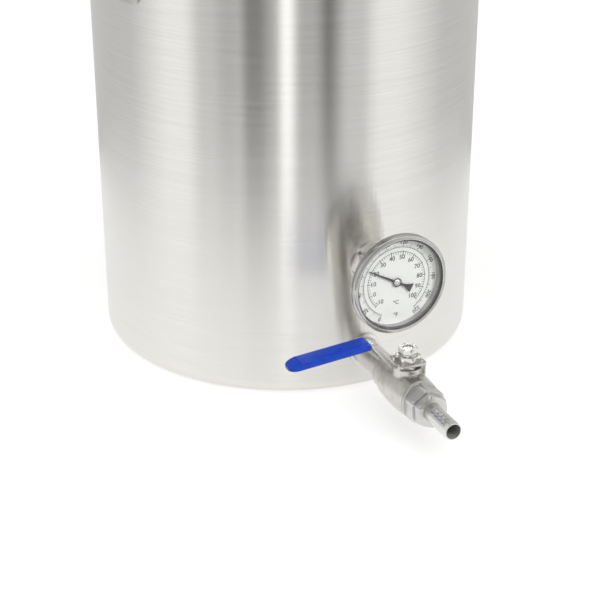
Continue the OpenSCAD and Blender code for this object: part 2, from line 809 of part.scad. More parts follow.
// Edges of the strip turned down along the step
module lever_flanges() {
    for (side = [-1, 1]) translate([0, side * ((lever_w - flange_t) / 2 + flange_out), 0])
        rotate([90, 0, 0]) linear_extrude(flange_t, center = true)
            strip_line(
                concat([lower_bend[bend_steps]], upper_bend), lever_t / 4, flange_h - lever_t / 2
            );
}
module stop_tab(turn) rotate([0, 0, turn - lever_at])
    translate([tab_mid - tab_t / 2, -tab_w / 2, plate_z - tab_drop])
        cube([tab_t, tab_w, tab_drop + lever_t / 2]);
module valve_lever() color("silver") at_stem() rotate([0, 0, lever_at]) difference() {
    union() {
        lever_strip(0);
        lever_flanges();
        translate([0, 0, plate_z]) linear_extrude(lever_t)
            rounded_square(2 * eye_half, 2 * eye_half, eye_corner);
        stop_tab(first_tab);
        stop_tab(second_tab);
    }
    translate([0, 0, plate_z - past]) linear_extrude(lever_t + 2 * past) stem_flats(seat);
}
// Strip along +X that starts square at x = 0 and has rounded corners at its far end
module round_ended(length, w, corner) {
    translate([0, -w / 2]) square([length - corner, w]);
    translate([0, corner - w / 2]) square([length, w - 2 * corner]);
    for (y = [-1, 1]) translate([length - corner, y * (w / 2 - corner)]) circle(corner);
}
// Dipped vinyl sleeve, closed and rounded at the tip
module lever_grip() color("royalblue") at_stem() rotate([0, 0, lever_at]) difference() {
    length = arm_len + grip_over - grip_start;
    foot = arm_point(grip_start);
    translate([foot[0], 0, foot[1]]) rotate([0, arm_droop, 0]) intersection() {
        rotate([90, 0, 90]) linear_extrude(length) rounded_square(grip_w, grip_t, grip_round);
        translate([0, 0, -grip_t]) linear_extrude(2 * grip_t) round_ended(length, grip_w, grip_corner);
        rotate([90, 0, 0]) linear_extrude(grip_w + past, center = true)
            round_ended(length, grip_t + past, grip_tip_r);
    }
    lever_strip(seat);
}
module lever_nut() color("gainsboro") at_stem() difference() {
    hex_bar(hub_af, hub_z, hub_top);
    rod(thread_top_r + seat, hub_z - past, hub_top + past);
}
module lock_washer() color("darkgray") at_stem() difference() {
    ring(lock_r, thread_top_r + seat, hub_top + seat, hub_top + seat + lock_t);
    rotate([0, 0, lock_turn]) translate([0, -lock_split / 2, hub_top])
        cube([lock_r + past, lock_split, 3 * lock_t]);
}
module stem_nut() color("gainsboro") at_stem() difference() {
    hex_bar(nut_af, nut_z, nut_z + nut_h);
    rod(thread_top_r + seat, nut_z - past, nut_z + nut_h + past);
}

kettle_shell();
left_handle();
right_handle();
handle_rivets();
lid();
lid_handle();
lid_rivets();
thermometer_washer();
thermometer_fitting();
thermometer_seal();
thermometer_locknut();
thermometer_case();
thermometer_stem();
bimetal_coil();
spindle_bush();
dial_plate();
dial_ring();
glass_gasket();
thermometer_glass();
thermometer_bezel();
pointer_spindle();
pointer();
pointer_cap();
valve_washer();
valve_nipple();
valve_seal();
valve_locknut();
valve_body();
inner_seat();
outer_seat();
body_gasket();
valve_end_cap();
hose_barb();
thrust_washer();
stem_packing();
gland_nut();
ball();
valve_stem();
valve_lever();
lever_grip();
lever_nut();
lock_washer();
stem_nut();
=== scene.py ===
"""Finishes, dial printing and studio for a steel kettle with a dial thermometer and a lever ball valve.

The kettle stands on z = 0 with its valve along -Y. Objects are in metres. Sizes in the code below are
in millimetres along four lines: up the kettle, up the valve's stem, and out along valve and dial.
"""

import json
from math import asin, atan2, cos, pi, radians, sin, sqrt, tan, tau

import bmesh
import bpy
from bpy.props import FloatProperty, FloatVectorProperty, IntProperty, PointerProperty
from bpy.types import Node, NodeSocket, Operator, Panel, PropertyGroup
from mathutils import Matrix, Vector


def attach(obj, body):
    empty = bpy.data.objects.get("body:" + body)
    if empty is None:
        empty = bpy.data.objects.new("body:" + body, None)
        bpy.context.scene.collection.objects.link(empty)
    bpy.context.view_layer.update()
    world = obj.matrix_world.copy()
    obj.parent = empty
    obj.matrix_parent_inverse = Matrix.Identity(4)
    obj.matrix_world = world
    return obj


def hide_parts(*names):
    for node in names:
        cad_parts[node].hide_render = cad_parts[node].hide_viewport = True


bl_info = {
    "name": "Kettle with thermometer and ball valve",
    "version": (1, 0, 0),
    "blender": (4, 5, 0),
    "location": "View3D > Sidebar > Kettle",
    "description": "Dresses the kettle's frame with finished metal, a printed dial and a dipped grip",
    "category": "Object",
}

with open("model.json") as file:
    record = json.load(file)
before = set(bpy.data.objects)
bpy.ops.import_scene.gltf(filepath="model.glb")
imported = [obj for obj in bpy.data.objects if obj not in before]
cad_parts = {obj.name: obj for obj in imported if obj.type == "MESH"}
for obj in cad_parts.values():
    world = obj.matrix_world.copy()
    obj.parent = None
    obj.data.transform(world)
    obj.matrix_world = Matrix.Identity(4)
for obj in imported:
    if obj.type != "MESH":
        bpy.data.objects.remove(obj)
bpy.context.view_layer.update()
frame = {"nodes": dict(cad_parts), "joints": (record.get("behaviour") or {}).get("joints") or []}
JOINTS = {joint["name"]: joint for joint in frame["joints"]}
MM = 0.001
KETTLE, LID, LEVER, POINTER = "kettle_body", "lid_body", "lever_body", "pointer_body"


# Lines that the pieces are turned on, and what the frame measures along them

def line_out(origin, outward):
    """Frame with its z along a line that runs outward and its y as near to upward as it goes."""
    z = Vector(outward).normalized()
    x = Vector((0, 0, 1)).cross(z).normalized()
    return Matrix.Translation(origin) @ Matrix((x, z.cross(x), z)).transposed().to_4x4()


def reach(node, line):
    """Lowest and highest corner of a CAD node in a line's own frame, and its radius, in millimetres."""
    back = line.inverted()
    spots = [(back @ vertex.co) / MM for vertex in frame["nodes"][node].data.vertices]
    low, high = (Vector(pick(spot[i] for spot in spots) for i in range(3)) for pick in (min, max))
    return low, high, max(spot.xy.length for spot in spots)


STEM_AT = Vector(JOINTS["lever_turn"]["pos_m"])
POT_LINE = Matrix.Identity(4)
STEM_LINE = Matrix.Translation(STEM_AT)
VALVE_LINE = line_out(STEM_AT, (0, -1, 0))
DIAL_LINE = line_out(JOINTS["pointer_turn"]["pos_m"], JOINTS["pointer_turn"]["axis"])


# Sizes, light and colours that a user would change

def number(label, about, value):
    """Property for one number, with its name, description and default."""
    return FloatProperty(name=label, description=about, default=value)


def linear(colour):
    """Turns an sRGB hex colour into linear values with full alpha."""
    parts = [int(colour[i:i + 2], 16) / 255 for i in (1, 3, 5)]
    return tuple(c / 12.92 if c <= 0.04045 else ((c + 0.055) / 1.055) ** 2.4 for c in parts) + (1.0,)


def swatch(label, about, colour):
    """Property for one colour, given as an sRGB hex value."""
    return FloatVectorProperty(name=label, description=about, subtype="COLOR", size=4, min=0, max=1,
                               default=linear(colour))


class KettleSizes(PropertyGroup):
    """Sheet sizes of the kettle and its lid, in millimetres."""

    wall: number("Wall radius", "Outside radius of the wall", 158.0)
    sheet: number("Sheet", "Thickness of the drawn sheet", 1.0)
    corner: number("Base corner", "Outside radius of the base corner", 12.5)
    bead: number("Rim bead", "Diameter of the rolled rim", 7.0)
    flange: number("Lid flange", "Inner radius of the lid's flat flange", 143.0)
    crown: number("Lid crown", "Outer radius of the lid's crown", 138.0)
    crown_rise: number("Crown rise", "Rise of the crown at its middle", 7.0)
    outlet_hole: number("Outlet hole", "Radius of the valve's hole", 10.7)
    dial_hole: number("Dial hole", "Radius of the thermometer's hole", 10.5)
    steps: IntProperty(name="Steps", description="Faces round the wall", default=256, min=32)


class RivetSizes(PropertyGroup):
    """Rivets and edges of the handles, in millimetres."""

    head: number("Head", "Radius of a rivet's head", 5.0)
    dome: number("Dome", "Height of a rivet's head", 2.7)
    tail: number("Tail", "Radius of a rivet's tail", 4.2)
    upset: number("Upset", "Height of a rivet's tail", 1.3)
    edge: number("Edge", "Rounding of the handles' edges", 0.5)


class DialSizes(PropertyGroup):
    """Layout of the two printed scales, in millimetres from the dial's middle."""

    inner_arc: number("Inner arc", "Radius of the inner scale's line", 24.7)
    outer_arc: number("Outer arc", "Radius of the outer scale's line", 28.3)
    line: number("Line", "Width of the printed lines", 0.34)
    print_depth: number("Print depth", "Thickness of the printing", 0.05)
    inner_digits: number("Inner digits", "Height of the inner numbers", 3.5)
    outer_digits: number("Outer digits", "Height of the outer numbers", 3.1)
    signs: number("Signs", "Height of the two degree signs", 3.2)
    weight: number("Weight", "Thickening of the numbers' strokes", 0.07)
    shown: number("Shown", "Degrees Celsius that the pointer shows", 20.0)
    sweep: number("Sweep", "Degrees of turn for one degree Celsius", 270 / 110)


class BezelSizes(PropertyGroup):
    """Section of the thermometer's bezel and fitting, in millimetres."""

    wall: number("Wall", "Thickness of the bezel's side", 1.95)
    lip: number("Lip", "Width of the bezel's front", 3.2)
    sheet: number("Sheet", "Thickness of the bezel's front", 1.3)
    roll: number("Roll", "Rounding of the bezel's outer edge", 1.5)
    groove: number("Groove", "Depth of the groove round the bezel's side", 0.7)
    thread: number("Thread", "Radius of the fitting's thread", 10.45)
    probe: number("Probe", "Radius of the fitting's bore", 3.225)
    neck: number("Neck", "Radius of the fitting's neck", 13.0)
    neck_length: number("Neck length", "Length of the fitting's neck", 3.5)
    turn: number("Turn", "Turn of the fitting's hexagon in degrees", -13.0)


class BarbSizes(PropertyGroup):
    """Section of the end cap, the hose barb and the stem's nuts, in millimetres."""

    collar: number("Collar", "Radius of the end cap's collar", 15.4)
    collar_length: number("Collar length", "Length of the end cap's collar", 2.0)
    flow: number("Flow bore", "Radius of the bore behind the barb", 7.0)
    pipe: number("Pipe", "Radius of the barb's pipe thread", 10.65)
    hexagon: number("Hexagon", "Length of the barb's hexagon", 6.3)
    bore: number("Bore", "Radius of the barb's bore", 5.8)
    land: number("Land", "Radius of the land and of the ridges", 7.2)
    relief: number("Relief", "Length of the neck behind the land", 1.4)
    land_length: number("Land length", "Length of the land", 4.0)
    pitch: number("Pitch", "Distance between two ridges", 5.2)
    ridges: IntProperty(name="Ridges", description="Number of ridges", default=5)
    turn: number("Turn", "Turn of both hexagons in degrees", 5.0)
    nut_bore: number("Nut bore", "Radius of the bore of the stem's nuts", 4.05)


class GripSizes(PropertyGroup):
    """Form of the dipped grip, in millimetres."""

    droop: number("Droop", "Downward slope of the arm in degrees", 5.0)
    edge: number("Edge", "Rounding of the long edges", 1.3)
    root: number("Root", "Rounding of the end by the valve", 2.6)
    root_inset: number("Root inset", "Narrowing of each side at the end by the valve", 1.4)
    root_drop: number("Root drop", "Lowering of the top at the end by the valve", 1.2)
    root_lift: number("Root lift", "Raising of the underside at the end by the valve", 1.0)
    tip_slope: number("Tip slope", "Length of the sloped tip", 9.0)
    tip_height: number("Tip height", "Thickness at the very tip", 3.4)
    tip_round: number("Tip round", "Length of the tip's rounding, seen from above", 7.5)
    tip_inset: number("Tip inset", "Narrowing of each side at the very tip", 5.4)
    tip_lift: number("Tip lift", "Raising of the underside at the very tip", 0.5)


class KettleColours(PropertyGroup):
    """Colours of the finishes that stand out."""

    steel: swatch("Steel", "Light tone of the brushed sheet", "#EAE8E4")
    steel_shade: swatch("Steel shade", "Dark tone of the brushed sheet", "#DFDDD8")
    cast: swatch("Casting", "Light tone of the cast valve", "#DAD8D3")
    cast_shade: swatch("Casting shade", "Dark tone of the cast valve", "#C6C3BC")
    vinyl: swatch("Vinyl", "Light tone of the dipped grip", "#0545C8")
    vinyl_shade: swatch("Vinyl shade", "Dark tone of the dipped grip", "#0239B2")


class StageSizes(PropertyGroup):
    """Camera, screen and light, in metres."""

    camera: FloatVectorProperty(name="Camera", description="Place of the camera", subtype="TRANSLATION",
                                default=(-0.4842, -1.1185, 0.5788))
    aim: FloatVectorProperty(name="Aim", description="Point that the camera looks at",
                             subtype="TRANSLATION", default=(-0.0418, -0.1247, 0.0724))
    lens: number("Lens", "Focal length in millimetres on a 36 mm frame", 90.0)
    sky: number("Sky", "Light from the white room", 0.35)
    sun: number("Softbox", "Light from the large softbox overhead", 1.1)
    fill: number("Fill", "Light from the right, which metal doesn't mirror", 1.35)
    lift: number("Lift", "Glow that brings the floor to white", 0.45)
    near: number("Screen", "Radius of the screen", 0.5)
    height: number("Screen height", "Height of the screen", 1.6)
    grey: number("Screen grey", "Shade of the screen between its panels", 0.64)


# Shader and geometry nodes

SPREAD = 0.3, 0.7  # Most of a noise's values lie between these


def add(tree, kind, inputs=None, **settings):
    """Adds a node, which is a shader node unless its kind says Node, with its settings and its inputs.

    An input is a value, a socket to link from, or a node, which links by its first output.
    """
    made = tree.nodes.new(kind if "Node" in kind else "ShaderNode" + kind)
    for key, value in settings.items():
        setattr(made, key, value)
    for key, value in (inputs or {}).items():
        if isinstance(value, Node):
            value = value.outputs[0]
        if isinstance(value, NodeSocket):
            tree.links.new(value, made.inputs[key])
        else:
            made.inputs[key].default_value = value
    return made


def blank(name):
    """New material with an empty tree."""
    material = bpy.data.materials.new(name)
    material.use_nodes = True
    material.node_tree.nodes.clear()
    return material, material.node_tree


def grouped(name, sockets):
    """New geometry group with inputs by name and kind, and the outputs that give them inside it."""
    tree = bpy.data.node_groups.new(name, "GeometryNodeTree")
    for label, kind in {"Geometry": "Geometry", **sockets}.items():
        tree.interface.new_socket(label, in_out="INPUT", socket_type="NodeSocket" + kind)
    tree.interface.new_socket("Geometry", in_out="OUTPUT", socket_type="NodeSocketGeometry")
    return tree, add(tree, "NodeGroupInput").outputs


def rowed(tree, points, form, turn, material):
    """Ends a group with a form set on each point, turned, made real and given its material."""
    row = add(tree, "GeometryNodeInstanceOnPoints", {
        "Points": points, "Instance": form, "Rotation": turn})
    whole = add(tree, "GeometryNodeRealizeInstances", {"Geometry": row})
    coat = add(tree, "GeometryNodeSetMaterial", {"Geometry": whole, "Material": material})
    add(tree, "NodeGroupOutput", {"Geometry": coat})


def millimetres(tree, line):
    """Object coordinates in millimetres in a line's own frame."""
    spot = add(tree, "TexCoord").outputs["Object"]
    return add(tree, "Mapping", {
        "Vector": spot, "Location": line.translation, "Rotation": line.to_euler(),
        "Scale": (MM, MM, MM)}, vector_type="TEXTURE")


def round_the_line(tree, place, streak, spacing):
    """Coordinates for tool lines that run round a line: long round it, fine along and across it."""
    across = add(tree, "VectorMath", {0: place, 1: (1, 1, 0)}, operation="MULTIPLY")
    radius = add(tree, "VectorMath", {0: across}, operation="LENGTH").outputs["Value"]
    along = add(tree, "SeparateXYZ", {0: place}).outputs["Z"]
    step = add(tree, "Math", {0: radius, 1: along}, operation="ADD")
    fine = add(tree, "Math", {0: step, 1: spacing}, operation="DIVIDE")
    long = add(tree, "VectorMath", {0: across, 1: (streak, streak, 1)}, operation="DIVIDE")
    both = add(tree, "CombineXYZ", {"Z": fine})
    return add(tree, "VectorMath", {0: long, 1: both}, operation="ADD")


def ray_is(tree, *kinds):
    """One where a ray is of any of these kinds, and otherwise nought."""
    path = add(tree, "LightPath").outputs
    either = path[kinds[0]]
    for kind in kinds[1:]:
        either = add(tree, "Math", {0: either, 1: path[kind]}, operation="MAXIMUM")
    return either


def surface(tree, tone, tones, shine, rough, relief, strength, inputs,
            tone_at=SPREAD, shine_at=SPREAD, height=0.1):
    """Ends a material: textures draw its two tones, its roughness, and a relief of some millimetres."""
    colour = add(tree, "ValToRGB", {"Fac": tone})
    for stop, at, tint in zip(colour.color_ramp.elements, tone_at, tones):
        stop.position, stop.color = at, tint
    dull = add(tree, "MapRange", {
        "Value": shine, "From Min": shine_at[0], "From Max": shine_at[1],
        "To Min": rough[0], "To Max": rough[1]})
    bump = add(tree, "Bump", {"Height": relief, "Strength": strength, "Distance": height * MM})
    shader = add(tree, "BsdfPrincipled", {
        "Base Color": colour, "Roughness": dull, "Normal": bump, **inputs})
    add(tree, "OutputMaterial", {"Surface": shader})


def brushed_stainless(name):
    """Stainless sheet, brushed round the pot: fine lines lie level, and reflections stretch upward."""
    material, tree = blank(name)
    place = millimetres(tree, POT_LINE)
    hue = bpy.context.scene.kettle_colours
    # Real brushing is about 0.1 mm apart; 0.8 mm is the finest that shows at this size
    fine = add(tree, "TexNoise", {
        "Vector": round_the_line(tree, place, 60, 0.8), "Scale": 1.0, "Detail": 2.0, "Roughness": 0.6})
    broad = add(tree, "TexNoise", {
        "Vector": round_the_line(tree, place, 200, 9), "Scale": 1.0, "Detail": 2.0})
    both = add(tree, "Math", {0: broad, 1: 0.25, 2: fine}, operation="MULTIPLY_ADD")
    tangent = add(tree, "Tangent", direction_type="RADIAL", axis="Z")
    spread = 0.35, 0.95
    surface(tree, both, (hue.steel_shade, hue.steel), both, (0.22, 0.26), fine, 0.012, {
        "Metallic": 1.0, "Anisotropic": 1.0, "Anisotropic Rotation": 0.25, "Tangent": tangent},
        tone_at=spread, shine_at=spread)
    return material


def turned_metal(name, line, tint="#DEDCD8", rough=(0.08, 0.15), spacing=0.5, relief=0.02):
    """Metal bar off the lathe: faint tool rings round its own line, bright but not quite a mirror."""
    material, tree = blank(name)
    place = millimetres(tree, line)
    # Feed marks are about 0.1 mm apart; they are drawn wider so that they show
    rings = add(tree, "TexNoise", {
        "Vector": round_the_line(tree, place, 45, spacing), "Scale": 1.0, "Detail": 2.0})
    smear = add(tree, "TexNoise", {"Vector": place, "Scale": 1 / 9, "Detail": 3.0})
    mixed = add(tree, "Math", {0: smear, 1: 0.6, 2: rings}, operation="MULTIPLY_ADD")
    light = linear(tint)
    dark = (*(0.9 * c for c in light[:3]), 1.0)
    surface(tree, smear, (dark, light), mixed, rough, rings, relief, {"Metallic": 1.0},
            shine_at=(0.5, 1.1))
    return material


def cast_stainless(name):
    """Investment cast stainless, tumbled: a satin skin with fine grit and soft, uneven shine."""
    material, tree = blank(name)
    place = millimetres(tree, STEM_LINE)
    hue = bpy.context.scene.kettle_colours
    grit = add(tree, "TexNoise", {"Vector": place, "Scale": 1 / 0.6, "Detail": 4.0, "Roughness": 0.65})
    patch = add(tree, "TexNoise", {"Vector": place, "Scale": 1 / 7, "Detail": 3.0})
    surface(tree, patch, (hue.cast_shade, hue.cast), patch, (0.26, 0.36), grit, 0.15,
            {"Metallic": 1.0}, tone_at=(0.3, 0.72), height=0.15)
    return material


def dipped_vinyl(name):
    """Plastisol vinyl, dipped and cured: a thick even blue with a soft gloss and a faint ripple."""
    material, tree = blank(name)
    place = millimetres(tree, STEM_LINE)
    hue = bpy.context.scene.kettle_colours
    flow = add(tree, "TexNoise", {"Vector": place, "Scale": 1 / 6, "Detail": 2.0})
    skin = add(tree, "TexNoise", {"Vector": place, "Scale": 1 / 0.7, "Detail": 2.0})
    surface(tree, flow, (hue.vinyl_shade, hue.vinyl), skin, (0.20, 0.28), skin, 0.05,
            {"IOR": 1.53, "Specular IOR Level": 0.3})
    return material


def coated(name, line, low, high, rough, grain, relief=0.05, ior=1.5):
    """Enamel, ink, rubber or moulded polymer: two close tones in a fine grain, with no metal in it."""
    material, tree = blank(name)
    place = millimetres(tree, line)
    speck = add(tree, "TexNoise", {"Vector": place, "Scale": 1 / grain, "Detail": 3.0})
    surface(tree, speck, (linear(low), linear(high)), speck, (rough, rough + 0.1), speck, relief,
            {"IOR": ior})
    return material


def gauge_glass(name):
    """Float glass: clear, flat and very smooth, with the faintest haze from handling."""
    material, tree = blank(name)
    place = millimetres(tree, DIAL_LINE)
    haze = add(tree, "TexNoise", {"Vector": place, "Scale": 1 / 12, "Detail": 2.0})
    rough = add(tree, "MapRange", {
        "Value": haze, "From Min": SPREAD[0], "From Max": SPREAD[1], "To Min": 0.0, "To Max": 0.015})
    glass = add(tree, "BsdfPrincipled", {
        "Base Color": linear("#FFFFFF"), "Roughness": rough, "IOR": 1.52, "Specular IOR Level": 0.06,
        "Transmission Weight": 1.0})
    clear = add(tree, "BsdfTransparent", {"Color": linear("#FCFDFC")})
    # Light on the way to the dial goes straight through, so that it is counted once
    either = add(tree, "MixShader", {
        0: ray_is(tree, "Is Shadow Ray", "Is Diffuse Ray"), 1: glass, 2: clear})
    add(tree, "OutputMaterial", {"Surface": either})
    return material


# What makes each finish, with its line, colour, roughness and spacing or grain
FINISHES = {
    "Brushed stainless sheet": (brushed_stainless,),
    "Satin stainless rod": (turned_metal, POT_LINE, "#D2D0CC", (0.24, 0.34), 0.9),
    "Cast stainless": (cast_stainless,),
    "Turned stainless on the dial line": (turned_metal, DIAL_LINE),
    "Turned stainless on the valve line": (turned_metal, VALVE_LINE, "#E2E1DE", (0.18, 0.25)),
    "Turned stainless on the stem line": (turned_metal, STEM_LINE),
    "Satin stainless bar": (turned_metal, VALVE_LINE, "#D8D7D4", (0.34, 0.42), 0.6),
    "Polished stainless": (turned_metal, DIAL_LINE, "#C8C7C4", (0.05, 0.12), 1.4, 0.01),
    # Lighter copy of the turned stainless on the dial line: its pale tint is a painted highlight on the
    # fitting and the case
    "Bright stainless on the dial line": (turned_metal, DIAL_LINE, "#F2F1EE", (0.10, 0.16), 1.0),
    "Etched stainless": (turned_metal, DIAL_LINE, "#B4B3B0", (0.42, 0.5), 0.8),
    "Rolled stainless strip": (turned_metal, STEM_LINE, "#CFCDC9", (0.18, 0.3), 3.0),
    "Brass bar": (turned_metal, DIAL_LINE, "#D8B871", (0.22, 0.34), 0.4),
    "Bimetal strip": (turned_metal, DIAL_LINE, "#C7A98C", (0.3, 0.42), 0.6),
    "Dipped vinyl": (dipped_vinyl,),
    # The drill leaves a dull torn surface that shows as plain grey
    "Drilled stainless": (coated, VALVE_LINE, "#8E8E8C", "#9C9C9A", 0.6, 0.6, 0.2),
    "Dial enamel": (coated, DIAL_LINE, "#F7F7F4", "#FAFAF8", 0.45, 2.0, 0.02),
    "Dial ink": (coated, DIAL_LINE, "#0A0A0C", "#131316", 0.5, 0.8, 0.02, 1.2),
    "Pointer paint": (coated, DIAL_LINE, "#060607", "#0E0E10", 0.35, 0.8, 0.04, 1.2),
    "Silicone rubber": (coated, POT_LINE, "#A8443A", "#B94E43", 0.5, 1.2, 0.06, 1.41),
    "Sintered white polymer": (coated, STEM_LINE, "#E6E6E2", "#F0F0ED", 0.45, 0.9, 0.06, 1.36),
    "Grey rubber": (coated, DIAL_LINE, "#6C6C6A", "#7A7A78", 0.5, 0.9, 0.06),
    "Gauge glass": (gauge_glass,),
}


def finish(name):
    """A finish by name, made the first time that it is asked for."""
    make, *settings = FINISHES[name]
    return bpy.data.materials.get(name) or make(name, *settings)


# Meshes

# Degrees from the middle of a hexagon's flat; the last is beside the corner, so that it is a fine edge
FLAT_SPOTS = (2, 6, 10, 14, 18, 22, 26, 29.4)


def stood(name, data):
    """New object in the scene."""
    made = bpy.data.objects.new(name, data)
    bpy.context.scene.collection.objects.link(made)
    return made


def evaluated(bare):
    """Mesh of an object as its modifiers or its curve leave it. The object is removed."""
    bpy.context.view_layer.update()
    mesh = bpy.data.meshes.new_from_object(bare.evaluated_get(bpy.context.evaluated_depsgraph_get()))
    bpy.data.objects.remove(bare)
    return mesh


def meshed(bm, name="form"):
    """Mesh of a form, which is freed."""
    mesh = bpy.data.meshes.new(name)
    bm.to_mesh(mesh)
    bm.free()
    return mesh


def rounded(corners, steps=8):
    """Path through (radius, height, rounding) corners with an arc in place of each rounded one."""
    path = []
    for i, (x, y, rounding) in enumerate(corners):
        here = Vector((x, y))
        if not rounding or i in (0, len(corners) - 1):
            path.append(here)
            continue
        back = (Vector(corners[i - 1][:2]) - here).normalized()
        on = (Vector(corners[i + 1][:2]) - here).normalized()
        half = back.angle(on) / 2
        middle = here + (back + on).normalized() * rounding / sin(half)
        start, end = (here + way * rounding / tan(half) - middle for way in (back, on))
        turn = start.angle_signed(end)
        path += [middle + Matrix.Rotation(-turn * k / steps, 2) @ start for k in range(steps + 1)]
    return path


def spun(path, steps, line=POT_LINE):
    """Spins a path of (radius, height) points into a closed skin; off the line it closes on itself."""
    bm = bmesh.new()
    rings = []
    touching = 1e-6
    turns = [tau * k / steps for k in range(steps)]
    for radius, height in path:
        if radius < touching:
            rings.append([bm.verts.new((0, 0, height))] * steps)
        else:
            rings.append([bm.verts.new((radius * cos(a), radius * sin(a), height))
                          for a in turns])
    return skinned(bm, rings, path[0][0] > touching, line)


def milled(path, line, turn=0.0):
    """Spins (radius, height, across flats) points, cut to a hexagon where the last isn't nought."""
    bm = bmesh.new()
    rings = []
    flat = [-spot for spot in FLAT_SPOTS[::-1]] + list(FLAT_SPOTS)
    spots = [60 * side + spot for side in range(6) for spot in flat]
    for radius, height, flats in path:
        ring = []
        for spot in spots:
            far = radius
            if flats:
                far = min(radius, flats / 2 / cos(radians((spot + 30) % 60 - 30)))
            angle = radians(spot + turn)
            ring.append(bm.verts.new((far * cos(angle), far * sin(angle), height)))
        rings.append(ring)
    return skinned(bm, rings, True, line)


def hexagon(low, high, tip, start=0.6, end=1.3):
    """Path along a hexagon bar with corners at radius tip, turned down at both of its ends."""
    flats, fine, slope = tip * sqrt(3), 0.08, 0.6
    return [(tip - start, low, flats), (tip - fine, low + slope * start, flats),
            (tip - fine, high - slope * end, flats), (tip - end, high, flats)]


def skinned(bm, rings, looped, line):
    """Mesh of the skin through rings of points, each as long as the next."""
    for low, high in zip(rings, rings[1:] + rings[:looped]):
        for k in range(len(low)):
            corners = dict.fromkeys((low[k], low[k - 1], high[k - 1], high[k]))
            if len(corners) > 2:
                bm.faces.new(corners)
    return placed(bm, line)


def placed(bm, line):
    """Mesh of a form drawn in millimetres, set on its line, with its faces outward."""
    bm.transform(line @ Matrix.Scale(MM, 4))
    bmesh.ops.recalc_face_normals(bm, faces=bm.faces)
    return meshed(bm)


def joined(node):
    """Copy of a CAD node with its loose triangles joined into whole faces."""
    bm = bmesh.new()
    bm.from_mesh(frame["nodes"][node].data)
    bmesh.ops.remove_doubles(bm, verts=bm.verts, dist=0.01 * MM)
    bmesh.ops.dissolve_limit(bm, angle_limit=radians(0.4), verts=bm.verts, edges=bm.edges)
    mesh = meshed(bm)
    for layer in ("custom_normal", "sharp_edge", "sharp_face"):
        if layer in mesh.attributes:
            mesh.attributes.remove(mesh.attributes[layer])
    return mesh


def worked(mesh, *modifiers):
    """Mesh after modifiers, each given as its kind and its settings."""
    mesh.shade_smooth()
    bare = stood("work", mesh)
    for kind, settings in modifiers:
        modifier = bare.modifiers.new(kind.title(), kind)
        for key, value in settings.items():
            if kind == "NODES" and key != "node_group":
                modifier[modifier.node_group.interface.items_tree[key].identifier] = value
            else:
                setattr(modifier, key, value)
    return evaluated(bare)


def eased(node, width):
    """Copy of a CAD node with its edges rounded by a width in millimetres."""
    return worked(
        joined(node),
        ("BEVEL", {"width": width * MM, "segments": 3, "limit_method": "ANGLE",
                   "angle_limit": radians(28), "use_clamp_overlap": False}),
        ("WEIGHTED_NORMAL", {"keep_sharp": True}))


def softened(node, grid, passes):
    """Copy of a CAD node drawn again on a grid in millimetres and smoothed, as castings are."""
    return worked(
        joined(node),
        ("REMESH", {"mode": "VOXEL", "voxel_size": grid * MM, "use_smooth_shade": True}),
        ("SMOOTH", {"factor": 0.5, "iterations": passes}))


def piece(name, mesh, material, body, slot, *nodes):
    """Adds a mesh that lies in place as a piece of a body, with its finish and what it stands for."""
    mesh.name = name
    mesh.materials.clear()
    mesh.materials.append(finish(material))
    made = stood(name, mesh)
    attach(made, body)
    if nodes:
        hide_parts(*nodes)


def sheet_piece(name, mesh, material, body, slot, *nodes, sharp=40):
    """Adds a piece that is smooth apart from its corners over an angle in degrees."""
    mesh.shade_smooth()
    mesh.set_sharp_from_angle(angle=radians(sharp))
    piece(name, mesh, material, body, slot, *nodes)


def keep(material, *nodes):
    """Gives CAD nodes that stay as they are their finish."""
    for node in nodes:
        for slot in frame["nodes"][node].material_slots:
            slot.material = finish(material)


# Operators, one for each group of pieces

